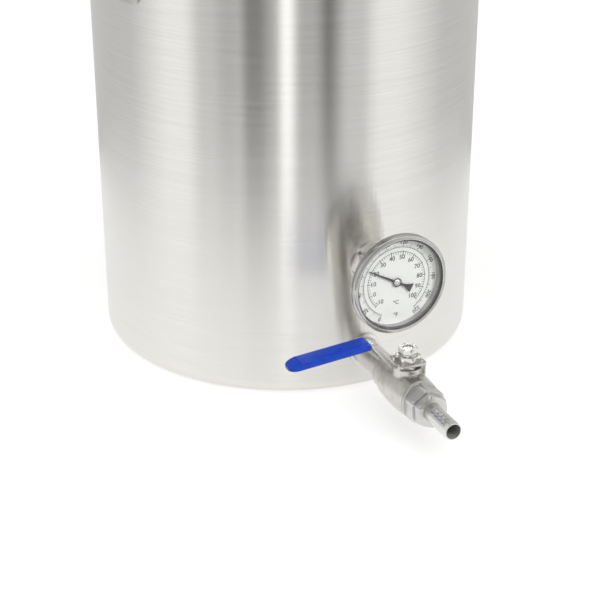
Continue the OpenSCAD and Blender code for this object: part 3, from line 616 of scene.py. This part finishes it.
class KETTLE_OT_shell(Operator):
    """Spins the drawn kettle and its lid"""
    bl_idname = "kettle.shell"
    bl_label = "Kettle and lid"

    def pot(self, size):
        """Section of the pot: its base and wall, the rolled rim, and the inside back to the middle."""
        _, top, _ = reach("kettle_shell", POT_LINE)
        inside, under = size.wall - size.sheet, top.z - size.bead
        rim, bead, nook = inside + size.bead, size.bead / 2 - 0.05, 0.6
        return rounded((
            (0, 0, 0), (size.wall, 0, size.corner), (size.wall, under, nook), (rim, under, bead),
            (rim, top.z, bead), (inside, top.z, bead), (inside, size.sheet, size.corner - size.sheet),
            (0, size.sheet, 0)), 12)

    def lid(self, size):
        """Section of the lid: its underside from the middle out to the skirt, and its top side back."""
        low, high, skirt = reach("lid", POT_LINE)
        brim, base, hem = low.z + size.bead, high.z - size.crown_rise - size.sheet, 0.4
        crown = (size.crown ** 2 + size.crown_rise ** 2) / (2 * size.crown_rise)
        turns = [asin(size.crown / crown) * k / 24 for k in range(24, -1, -1)]
        sides = []
        for thick, fold, bend in ((0, 0.5, 3), (size.sheet, 1.5, 4)):
            far, edge = crown + thick, skirt - size.sheet + thick
            dome = [(far * sin(a), base + far * cos(a) - crown + size.crown_rise, 0)
                    for a in turns]
            sides.append(rounded([
                (skirt - size.sheet / 2, low.z, 0), (edge, low.z, hem), (edge, brim + thick, fold),
                (size.flange, brim + thick, bend), (*dome[0][:2], bend), *dome[2:]], 6))
        under, top = sides
        return under[::-1] + top[1:]

    def execute(self, context):
        size = context.scene.kettle_sizes
        holes, through = [], 12.5
        for line, radius in ((VALVE_LINE, size.outlet_hole), (DIAL_LINE, size.dial_hole)):
            wall = size.wall - line.translation.xy.length / MM
            low, high = wall - through, wall + through
            plug = spun(((0, low), (radius, low), (radius, high), (0, high)), 96, line)
            holes.append(stood("hole", plug))
        drawn = worked(spun(self.pot(size), size.steps), *(
            ("BOOLEAN", {"operation": "DIFFERENCE", "object": hole, "solver": "EXACT"})
            for hole in holes))
        for hole in holes:
            bpy.data.objects.remove(hole)
        steel, slot = "Brushed stainless sheet", "kettle_steel"
        sheet_piece("kettle_shell_brushed", drawn, steel, KETTLE, slot, "kettle_shell")
        sheet_piece("lid_brushed", spun(self.lid(size), size.steps), steel, LID, slot, "lid")
        return {"FINISHED"}


class KETTLE_OT_handles(Operator):
    """Eases the bent rod handles and sets their rivets"""
    bl_idname = "kettle.handles"
    bl_label = "Handles and rivets"

    def rivets(self):
        """Group that sets a domed rivet with its tail on each point, along the point's own way."""
        lengths = "Head Radius", "Head Height", "Grip", "Tail Radius", "Tail Height"
        tree, given = grouped("Rivet row", {**dict.fromkeys(lengths, "Float"), "Metal": "Material"})
        dome = add(tree, "GeometryNodeMeshUVSphere", {"Segments": 32, "Rings": 16, "Radius": 1.0})
        drop = add(tree, "Math", {0: given["Grip"], 1: -1.0}, operation="MULTIPLY")
        rivet = add(tree, "GeometryNodeJoinGeometry")
        for end, depth in (("Head", 0.0), ("Tail", drop)):
            wide, high = given[end + " Radius"], given[end + " Height"]
            scale = add(tree, "CombineXYZ", {"X": wide, "Y": wide, "Z": high})
            foot = add(tree, "CombineXYZ", {"Z": depth})
            part = add(tree, "GeometryNodeTransform", {
                "Geometry": dome, "Scale": scale, "Translation": foot})
            tree.links.new(part.outputs["Geometry"], rivet.inputs["Geometry"])
        way = add(tree, "GeometryNodeInputNamedAttribute", {"Name": "outward"},
                  data_type="FLOAT_VECTOR").outputs["Attribute"]
        turn = add(tree, "FunctionNodeAlignRotationToVector", {"Vector": way}, axis="Z")
        smooth = add(tree, "GeometryNodeSetShadeSmooth", {"Geometry": rivet})
        rowed(tree, given["Geometry"], smooth, turn, given["Metal"])
        return tree

    def seats(self, node, upright):
        """Each rivet's place across its own way, that way, and its two ends along it, in millimetres."""
        bm = bmesh.new()
        bm.from_mesh(frame["nodes"][node].data)
        bmesh.ops.remove_doubles(bm, verts=bm.verts, dist=0.001 * MM)
        left, seats = set(bm.verts), []
        while left:
            group, edge = set(), {left.pop()}
            while edge:
                group |= edge
                edge = {e.other_vert(v) for v in edge for e in v.link_edges} - group
            left -= group
            spots = [v.co / MM for v in group]
            middle = sum(spots, Vector()) / len(spots)
            way = Vector((0, 0, 1)) if upright else Vector((middle.x, middle.y, 0)).normalized()
            ends = [way.dot(spot) for spot in spots]
            seats.append((middle - way * way.dot(middle), way, min(ends), max(ends)))
        bm.free()
        return seats

    def execute(self, context):
        size = context.scene.rivet_sizes
        steel, slot = "Satin stainless rod", "handle_steel"
        for node, body in (("left_handle", KETTLE), ("right_handle", KETTLE), ("lid_handle", LID)):
            piece(node + "_satin", eased(node, size.edge), steel, body, slot, node)
        tree = self.rivets()
        for node, body, upright in (("handle_rivets", KETTLE, False), ("lid_rivets", LID, True)):
            seats = self.seats(node, upright)
            points = bpy.data.meshes.new(node)
            points.from_pydata([side + way * (high - size.dome) for side, way, _, high in seats], [], [])
            ways = points.attributes.new("outward", "FLOAT_VECTOR", "POINT")
            for item, (_, way, _, _) in zip(ways.data, seats):
                item.vector = way
            _, _, low, high = seats[0]
            mesh = worked(points, ("NODES", {
                "node_group": tree, "Head Radius": size.head, "Head Height": size.dome,
                "Tail Radius": size.tail, "Tail Height": size.upset,
                "Grip": high - low - size.dome - size.upset, "Metal": finish(steel)}))
            mesh.transform(Matrix.Scale(MM, 4))
            piece(node + "_set", mesh, steel, body, slot, node)
        return {"FINISHED"}


class KETTLE_OT_thermometer(Operator):
    """Finishes the thermometer's metal, glass and seals"""
    bl_idname = "kettle.thermometer"
    bl_label = "Thermometer"

    def bezel(self, size):
        """Section of a ring with a rolled edge, a fine line inside it and a groove round its side."""
        low, high, out = reach("thermometer_bezel", DIAL_LINE)
        inside, mouth, ridge = out - size.wall, out - size.lip, out - size.groove
        start, end = low.z + 1.4, low.z + 3.5
        line, half, cut = out - size.roll - 0.4, 0.2, 0.4
        return rounded((
            (inside, low.z, 0), (out, low.z, 0.4), (out, start, 0.25), (ridge, start, 0.2),
            (ridge, end, 0.2), (out, end, 0.25), (out, high.z, size.roll),
            (line + half, high.z, 0.1), (line, high.z - cut, 0.08), (line - half, high.z, 0.1),
            (mouth, high.z, 0.5), (mouth, high.z - size.sheet, 0.2), (inside, high.z - size.sheet, 0)))

    def fitting(self, size):
        """Path of the hexagon bulkhead fitting, from its thread's end to its neck."""
        low, high, tip = reach("thermometer_fitting", DIAL_LINE)
        foot, shoulder = reach("thermometer_washer", DIAL_LINE)[1].z, high.z - size.neck_length
        chamfer = 0.4
        return [(size.probe, low.z, 0), (size.thread, low.z, 0), (size.thread, foot, 0),
                *hexagon(foot, shoulder, tip), (size.neck, shoulder, 0), (size.neck, high.z - chamfer, 0),
                (size.neck - chamfer, high.z, 0), (size.probe, high.z, 0)]

    def execute(self, context):
        size = context.scene.bezel_sizes
        # The fitting and the case take the lighter copy of the turned stainless, whose pale tint is a
        # painted highlight
        turned, bright = "Turned stainless on the dial line", "Bright stainless on the dial line"
        sheet_piece("thermometer_bezel_polished", spun(self.bezel(size), 192, DIAL_LINE),
                    "Polished stainless", KETTLE, "polished_steel", "thermometer_bezel")
        sheet_piece("thermometer_fitting_milled", milled(self.fitting(size), DIAL_LINE, size.turn),
                    bright, KETTLE, "machined_steel", "thermometer_fitting")
        for node, edge, metal, slot in (
                ("thermometer_washer", 0.3, turned, "machined_steel"),
                ("thermometer_case", 0.3, bright, "polished_steel"),
                ("thermometer_locknut", 0.1, turned, "machined_steel")):
            piece(node + "_finished", eased(node, edge), metal, KETTLE, slot, node)
        keep(turned, "thermometer_stem")
        keep("Etched stainless", "dial_ring")
        keep("Dial enamel", "dial_plate")
        keep("Gauge glass", "thermometer_glass")
        keep("Grey rubber", "glass_gasket")
        keep("Silicone rubber", "thermometer_seal")
        keep("Bimetal strip", "bimetal_coil")
        keep("Brass bar", "spindle_bush", "pointer_spindle")
        keep("Polished stainless", "pointer_cap")
        return {"FINISHED"}


class KETTLE_OT_dial(Operator):
    """Prints the two scales on the dial and cuts its pointer"""
    bl_idname = "kettle.dial"
    bl_label = "Dial printing"

    def ticks(self):
        """Group that sets bars round a circle, as the ticks of a scale."""
        numbers = "First Angle", "Step Angle", "Radius", "Length", "Width", "Depth"
        tree, given = grouped("Scale ticks", {
            "Count": "Int", **dict.fromkeys(numbers, "Float"), "Ink": "Material"})
        line = add(tree, "GeometryNodeMeshLine", {"Count": given["Count"], "Offset": (0, 0, 0)})
        index = add(tree, "GeometryNodeInputIndex")
        angle = add(tree, "Math", {0: index, 1: given["Step Angle"], 2: given["First Angle"]},
                    operation="MULTIPLY_ADD")
        turn = add(tree, "CombineXYZ", {"Z": angle})
        out = add(tree, "CombineXYZ", {"X": given["Radius"]})
        spot = add(tree, "VectorRotate", {"Vector": out, "Angle": angle}, rotation_type="Z_AXIS")
        points = add(tree, "GeometryNodeSetPosition", {"Geometry": line, "Position": spot})
        size = add(tree, "CombineXYZ", {"X": given["Length"], "Y": given["Width"], "Z": given["Depth"]})
        bar = add(tree, "GeometryNodeMeshCube", {"Size": size})
        rowed(tree, points, bar, turn, given["Ink"])
        return tree

    def band(self, bm, inner, outer, first, last, depth):
        """Flat ring sector between two angles in degrees, as a printed line."""
        steps = max(2, int(abs(last - first) / 2))
        rows = []
        for k in range(steps + 1):
            angle = radians(first + (last - first) * k / steps)
            way = Vector((cos(angle), sin(angle), 0))
            rows.append([bm.verts.new(way * r + Vector((0, 0, z)))
                         for r, z in ((inner, 0), (outer, 0), (outer, depth), (inner, depth))])
        for a, b in zip(rows, rows[1:]):
            for k in range(4):
                bm.faces.new((a[k], a[k - 1], b[k - 1], b[k]))
        bm.faces.new(rows[0])
        bm.faces.new(rows[-1][::-1])

    def figure(self, bm, words, height, radius, angle, turned):
        """Number or sign with its middle at a radius and angle, upright or turned to face the middle."""
        size, share = bpy.context.scene.dial_sizes, 0.7  # Figures are this share of the font's size
        curve = bpy.data.curves.new("figure", "FONT")
        curve.body, curve.size, curve.extrude = words, height / share, size.print_depth / 2
        curve.offset, curve.resolution_u = size.weight, 3
        curve.align_x, curve.align_y = "CENTER", "CENTER"
        mesh = evaluated(stood("figure", curve))
        way = radians(angle)
        mesh.transform(
            Matrix.Translation((radius * cos(way), radius * sin(way), size.print_depth / 2))
            @ Matrix.Rotation(way - pi / 2 if turned else 0, 4, "Z"))
        bm.from_mesh(mesh)
        bpy.data.meshes.remove(mesh)

    def pointer(self, angle):
        """Needle with a round hub and a tail that flares with hollow sides, cut from one thin sheet."""
        low, high, far = reach("pointer", DIAL_LINE)
        tip, short, hub, waist, tail, spread, hollow, bow = 0.35, 0.1, 3.6, 1.0, 14.3, 3.8, 6.0, 1.6
        start = asin(waist / hub)
        turns = [start + (pi - 2 * start) * k / 24 for k in range(25)]
        flare = [(-hollow - (tail - hollow) * k / 8, waist + (spread - waist) * (k / 8) ** bow)
                 for k in range(9)]
        side = [(far - short, tip), *((hub * cos(a), hub * sin(a)) for a in turns), *flare]
        bm = bmesh.new()
        spots = [bm.verts.new((x, y, low.z)) for x, y in side + [(x, -y) for x, y in side[::-1]]]
        raised = bmesh.ops.extrude_face_region(bm, geom=[bm.faces.new(spots)])["geom"]
        bmesh.ops.translate(bm, vec=(0, 0, high.z - low.z),
                            verts=[v for v in raised if isinstance(v, bmesh.types.BMVert)])
        bm.transform(Matrix.Rotation(radians(angle), 4, "Z"))
        piece("pointer_painted", placed(bm, DIAL_LINE), "Pointer paint", POINTER, "pointer_paint",
              "pointer")

    def execute(self, context):
        size = context.scene.dial_sizes
        _, face, _ = reach("dial_plate", DIAL_LINE)
        depth, line, inner, outer = size.print_depth, size.line, size.inner_arc, size.outer_arc

        def at(celsius):
            top = 45  # The degrees that stand upright over the middle
            return 90 + (top - celsius) * size.sweep

        def at_f(fahrenheit):
            return at((fahrenheit - 32) / 1.8)

        bm = bmesh.new()
        tree = self.ticks()
        turn, turn_f = (at(-10), at(100)), (at_f(0), at_f(220))
        # Each row of ticks: how many, from and to which angle, their middle's radius, length and width
        for count, (first, last), radius, long, wide in (
                (56, turn, inner - 1.1, 2.2, 0.28), (12, turn, inner - 1.0, 3.6, 0.5),
                (111, turn_f, outer + 0.8, 1.6, 0.26), (23, turn_f, outer + 1.2, 2.4, 0.42)):
            mesh = worked(bpy.data.meshes.new("ticks"), ("NODES", {
                "node_group": tree, "Count": count, "First Angle": radians(first),
                "Step Angle": radians((last - first) / (count - 1)), "Radius": radius,
                "Length": long, "Width": wide, "Depth": depth, "Ink": finish("Dial ink")}))
            mesh.transform(Matrix.Translation((0, 0, depth / 2)))
            bm.from_mesh(mesh)
        for radius, (first, last) in ((inner, turn), (outer, turn_f)):
            self.band(bm, radius - line / 2, radius + line / 2, last, first, depth)
        end_length, end_half = 2.6, 0.3
        for edge in turn_f:
            self.band(bm, outer, outer + end_length, edge - end_half, edge + end_half, depth)
        for celsius in range(-10, 101, 10):
            self.figure(bm, str(celsius), size.inner_digits, inner - 4.6, at(celsius), False)
        for fahrenheit in range(0, 221, 20):
            self.figure(bm, str(fahrenheit), size.outer_digits, outer + 4.0, at_f(fahrenheit), True)
        for sign, down in (("°C", 17.4), ("°F", 27.8)):
            self.figure(bm, sign, size.signs, down, 270, False)
        bm.transform(Matrix.Translation((0, 0, face.z)))
        piece("dial_printing", placed(bm, DIAL_LINE), "Dial ink", KETTLE, "pointer_paint")
        self.pointer(at(size.shown))
        return {"FINISHED"}


class KETTLE_OT_valve(Operator):
    """Finishes the valve line from the wall to the hose barb"""
    bl_idname = "kettle.valve"
    bl_label = "Valve line"

    def cap_and_barb(self, size):
        """Paths of the end cap, and of the barb's hexagon with its thread, its tube and its bore."""
        low, high, tip = reach("valve_end_cap", VALVE_LINE)
        thread_end, end, barb_tip = reach("hose_barb", VALVE_LINE)
        face, plug, well = reach("body_gasket", VALVE_LINE)[1].z, size.pipe + 2.3, size.pipe + 0.05
        shelf, well_end, chamfer = face + size.collar_length, thread_end.z - 1, 0.3
        cap = [(size.flow, low.z, 0), (plug, low.z, 0), (plug, face, 0),
               (size.collar - chamfer, face, 0), (size.collar, face + chamfer, 0),
               (size.collar, shelf, 0), *hexagon(shelf, high.z, tip), (well, high.z, 0),
               (well, well_end, 0), (size.flow, well_end, 0)]
        back = high.z + 0.2
        front = back + size.hexagon
        neck = [(size.bore, thread_end.z, 0), (size.pipe, thread_end.z, 0), (size.pipe, back, 0),
                *hexagon(back, front, barb_tip), (size.bore, front, 0)]
        sleeve, mouth, root = size.bore + 0.2, end.z - 0.5, front - 1
        waist, worn, land = size.land - 0.7, size.land - 0.5, front + size.relief
        first = land + size.land_length
        ridge = (size.land - 0.4, 0), (size.land, 0.2), (size.land, 0.8), (worn, size.pitch)
        ridges = [(radius, first + size.pitch * i + along, 0.08)
                  for i in range(size.ridges) for radius, along in ridge]
        tube = rounded([(sleeve, root, 0), (waist, root, 0), (waist, land, 0.2), (size.land, land, 0.2),
                        (size.land, first, 0.1), *ridges[:-1], (worn, end.z, 0.4),
                        (size.bore, end.z, 0.25), (size.bore, mouth, 0), (sleeve, mouth, 0)], 4)
        bore = [(size.bore, front), (sleeve, front), (sleeve, mouth), (size.bore, mouth)]
        return cap, neck, tube, bore

    def nut(self, node, hole):
        """Path of a nut on the stem, with its bore chamfered at the top."""
        low, high, tip = reach(node, STEM_LINE)
        chamfer = 0.4
        return [(hole, low.z, 0), *hexagon(low.z, high.z, tip, chamfer, 0.9),
                (hole + chamfer, high.z, 0), (hole, high.z - chamfer, 0)]

    def execute(self, context):
        size = context.scene.barb_sizes
        bar, slot = "Satin stainless bar", "machined_steel"
        on_valve, on_stem = "Turned stainless on the valve line", "Turned stainless on the stem line"
        piece("valve_body_cast", softened("valve_body", 0.5, 8), "Cast stainless", KETTLE, "cast_steel",
              "valve_body")
        cap, neck, tube, bore = self.cap_and_barb(size)
        sheet_piece("valve_end_cap_milled", milled(cap, VALVE_LINE, size.turn), bar, KETTLE,
                    "cast_steel", "valve_end_cap")
        sheet_piece("hose_barb_hexagon", milled(neck, VALVE_LINE, size.turn), bar, KETTLE, slot,
                    "hose_barb")
        sheet_piece("hose_barb_tube", spun(tube, 128, VALVE_LINE), on_valve, KETTLE, slot)
        sheet_piece("hose_barb_bore", spun(bore, 96, VALVE_LINE), "Drilled stainless", KETTLE, slot)
        for node in ("lever_nut", "stem_nut"):
            mesh = milled(self.nut(node, size.nut_bore), STEM_LINE)
            sheet_piece(node + "_milled", mesh, on_stem, LEVER, slot, node)
        for node, edge, metal, body in (
                ("valve_washer", 0.3, on_valve, KETTLE), ("valve_nipple", 0.3, on_valve, KETTLE),
                ("valve_locknut", 0.1, on_valve, KETTLE), ("gland_nut", 0.1, on_stem, KETTLE),
                ("valve_stem", 0.15, on_stem, LEVER), ("lock_washer", 0.15, on_stem, LEVER)):
            piece(node + "_finished", eased(node, edge), metal, body, slot, node)
        keep("Polished stainless", "ball")
        keep("Silicone rubber", "valve_seal")
        keep("Sintered white polymer", "inner_seat", "outer_seat", "thrust_washer", "stem_packing",
             "body_gasket")
        return {"FINISHED"}


class KETTLE_OT_lever(Operator):
    """Finishes the lever's strip and lofts its dipped grip"""
    bl_idname = "kettle.lever"
    bl_label = "Lever and grip"

    def grip(self, size):
        """Mesh of the sleeve along the arm: rounded by the valve, narrow and sloped down at its tip."""
        slope = radians(size.droop)
        arm = line_out(STEM_AT, (-cos(slope), 0, -sin(slope)))
        low, high, _ = reach("lever_grip", arm)
        run = high.z - size.tip_round - low.z
        marks = [low.z + size.root * (1 - cos(radians(15 * k))) for k in range(7)]
        marks += [low.z + run * k / 40 for k in range(2, 41)]
        marks += [high.z - size.tip_round * (1 - sin(radians(6 * k))) for k in range(1, 16)]
        bm = bmesh.new()
        rings = []
        for mark in marks:
            lead = max(0.0, 1 - (mark - low.z) / size.root)
            tail = max(0.0, 1 - (high.z - mark) / size.tip_round)
            fall = max(0.0, 1 - (high.z - mark) / size.tip_slope)
            ease, point = (1 - sqrt(max(0.0, 1 - share ** 2)) for share in (lead, tail))
            half = high.x - size.root_inset * ease - size.tip_inset * point
            top = high.y - size.root_drop * ease - (high.y - low.y - size.tip_height) * fall
            foot = low.y + size.root_lift * ease + size.tip_lift * tail ** 3
            edge = min(size.edge, (top - foot) / 2 - 0.05)
            ring = []
            for side, level, start in ((1, top - edge, 0), (-1, top - edge, 90),
                                       (-1, foot + edge, 180), (1, foot + edge, 270)):
                for k in range(6):
                    angle = radians(start + 18 * k)
                    ring.append(bm.verts.new((side * (half - edge) + edge * cos(angle),
                                              level + edge * sin(angle), mark)))
            rings.append(ring)
        bm.faces.new(rings[0][::-1])
        bm.faces.new(rings[-1])
        return skinned(bm, rings, False, arm)

    def execute(self, context):
        piece("valve_lever_strip", softened("valve_lever", 0.3, 4), "Rolled stainless strip", LEVER,
              "machined_steel", "valve_lever")
        sheet_piece("lever_grip_dipped", self.grip(context.scene.grip_sizes), "Dipped vinyl", LEVER,
                    "vinyl_blue", "lever_grip", sharp=50)
        return {"FINISHED"}


class KETTLE_OT_stage(Operator):
    """Sets the pale floor, the white room, the softbox, the grey screen and the camera"""
    bl_idname = "kettle.stage"
    bl_label = "Stage"

    # Soft panels and cards of the screen: the angles, from the camera's own, where each starts, is full,
    # is still full and ends, and its shade
    panels = (
        (-178, -168, -156, -140, 0.93),
        (-86, -62, -50, -42, 1.05),
        (-36, -30, -25, -20, 0.48),
        (-23, -18, -12, -2, 0.18),
        (-4, 0, 2, 6, 1.40),
        (5, 8, 12, 18, 0.46),
        (13, 20, 22, 30, 0.13),
        (38, 47, 60, 90, 1.03),
        (146, 160, 168, 176, 0.93))

    def room(self, size):
        """World that is white where it is seen and dimmer where it only lights."""
        world = bpy.data.worlds.new("White room")
        world.use_nodes = True
        tree = world.node_tree
        tree.nodes.clear()
        seen = ray_is(tree, "Is Camera Ray", "Is Glossy Ray", "Is Transmission Ray")
        level = add(tree, "Math", {0: seen, 1: 1 - size.sky, 2: size.sky}, operation="MULTIPLY_ADD")
        room = add(tree, "Background", {"Color": (1, 1, 1, 1), "Strength": level})
        add(tree, "OutputWorld", {"Surface": room})
        return world

    def floor(self, size):
        """Sets the floor just under the kettle, with a glow that only the camera and reflections see."""
        material, tree = blank("Matt white floor")
        place = millimetres(tree, POT_LINE)
        grain = add(tree, "TexNoise", {"Vector": place, "Scale": 1 / 40, "Detail": 2.0})
        colour = add(tree, "ValToRGB", {"Fac": grain})
        for stop, tint in zip(colour.color_ramp.elements, ("#F7F7F7", "#F9F9F9")):
            stop.color = linear(tint)
        matt = add(tree, "BsdfDiffuse", {"Color": colour})
        seen = ray_is(tree, "Is Camera Ray", "Is Glossy Ray")
        lift = add(tree, "Math", {0: seen, 1: size.lift}, operation="MULTIPLY")
        glow = add(tree, "Emission", {"Strength": lift})
        both = add(tree, "AddShader", {0: matt, 1: glow})
        add(tree, "OutputMaterial", {"Surface": both})
        half, under = 8.0, -0.0003
        mesh = bpy.data.meshes.new("Floor")
        mesh.from_pydata([(x * half, y * half, under) for x, y in ((-1, -1), (1, -1), (1, 1), (-1, 1))],
                         [], [(0, 1, 2, 3)])
        mesh.materials.append(material)
        floor = stood("Floor", mesh)
        return floor

    def lamp(self, name, energy, spread, way):
        """Sets a sun of a spread in degrees that shines along a way."""
        light = bpy.data.lights.new(name, "SUN")
        light.energy, light.angle = energy, radians(spread)
        lamp = stood(name, light)
        lamp.rotation_euler = Vector(way).to_track_quat("-Z", "Y").to_euler()
        return lamp

    def shade(self, turn, grey):
        """Shade of the screen at an angle from the camera's own."""
        for start, full, still, end, tone in self.panels:
            cover = max(0.0, min(1.0, (turn - start) / (full - start), (end - turn) / (end - still)))
            grey += (tone - grey) * cover
        return grey

    def screen(self, size):
        """Sets a grey screen round the kettle that only reflections see, with soft changes of shade."""
        middle = atan2(size.camera[1], size.camera[0])
        bm = bmesh.new()
        shade = bm.verts.layers.float.new("shade")
        rows = []
        for turn in range(-180, 181):
            angle = middle + radians(turn)
            x, y = size.near * cos(angle), size.near * sin(angle)
            rows.append([bm.verts.new((x, y, z)) for z in (0, size.height)])
            for vert in rows[-1]:
                vert[shade] = self.shade(turn, size.grey)
        for a, b in zip(rows, rows[1:]):
            bm.faces.new((a[0], b[0], b[1], a[1]))
        mesh = meshed(bm, "Screen")
        material, tree = blank("Grey screen")
        grey = add(tree, "Attribute", attribute_name="shade")
        glow = add(tree, "Emission", {"Strength": grey.outputs["Fac"]})
        add(tree, "OutputMaterial", {"Surface": glow})
        mesh.materials.append(material)
        screen = stood("Screen", mesh)
        screen.visible_camera = screen.visible_diffuse = screen.visible_shadow = False
        screen.visible_transmission = False

    def execute(self, context):
        scene, size = context.scene, context.scene.stage_sizes
        scene.view_settings.view_transform = "Standard"
        scene.world = self.room(size)
        floor = self.floor(size)
        self.lamp("Softbox", size.sun, 70, (0.18, 0.40, -1.0))
        fill = self.lamp("Front fill", size.fill, 14, (-0.42, 0.75, -0.5))
        fill.visible_glossy = False
        # The fill draws the rim's shade on the dial; the floor keeps only the softbox's shadow
        unlit = bpy.data.collections.new("Not lit by the fill")
        unlit.objects.link(floor)
        unlit.collection_objects[0].light_linking.link_state = "EXCLUDE"
        fill.light_linking.receiver_collection = unlit
        self.screen(size)
        camera = bpy.data.cameras.new("Camera")
        camera.lens, camera.sensor_width = size.lens, 36
        eye = stood("Camera", camera)
        eye.location = size.camera
        eye.rotation_euler = (Vector(size.aim) - Vector(size.camera)).to_track_quat("-Z", "Y").to_euler()
        scene.camera = eye
        return {"FINISHED"}


class KETTLE_PT_panel(Panel):
    """Lists the kettle's operators and sizes"""
    bl_idname = "KETTLE_PT_panel"
    bl_label = "Kettle"
    bl_space_type = "VIEW_3D"
    bl_region_type = "UI"
    bl_category = "Kettle"

    def draw(self, context):
        for operator in OPERATORS:
            self.layout.operator(operator.bl_idname)
        for group, kind in GROUPS.items():
            box = self.layout.box()
            for name in kind.__annotations__:
                box.prop(getattr(context.scene, group), name)


GROUPS = {"kettle_sizes": KettleSizes, "rivet_sizes": RivetSizes, "dial_sizes": DialSizes,
          "bezel_sizes": BezelSizes, "barb_sizes": BarbSizes, "grip_sizes": GripSizes,
          "kettle_colours": KettleColours, "stage_sizes": StageSizes}
OPERATORS = (KETTLE_OT_stage, KETTLE_OT_shell, KETTLE_OT_handles, KETTLE_OT_thermometer, KETTLE_OT_dial,
             KETTLE_OT_valve, KETTLE_OT_lever)
CLASSES = (*GROUPS.values(), *OPERATORS, KETTLE_PT_panel)


def register():
    for kind in CLASSES:
        bpy.utils.register_class(kind)
    for name, kind in GROUPS.items():
        setattr(bpy.types.Scene, name, PointerProperty(type=kind))


def unregister():
    for name in GROUPS:
        delattr(bpy.types.Scene, name)
    for kind in reversed(CLASSES):
        bpy.utils.unregister_class(kind)


def main():
    register()
    bpy.ops.kettle.stage()
    bpy.ops.kettle.shell()
    bpy.ops.kettle.handles()
    bpy.ops.kettle.thermometer()
    bpy.ops.kettle.dial()
    bpy.ops.kettle.valve()
    bpy.ops.kettle.lever()


if __name__ == "__main__":
    main()
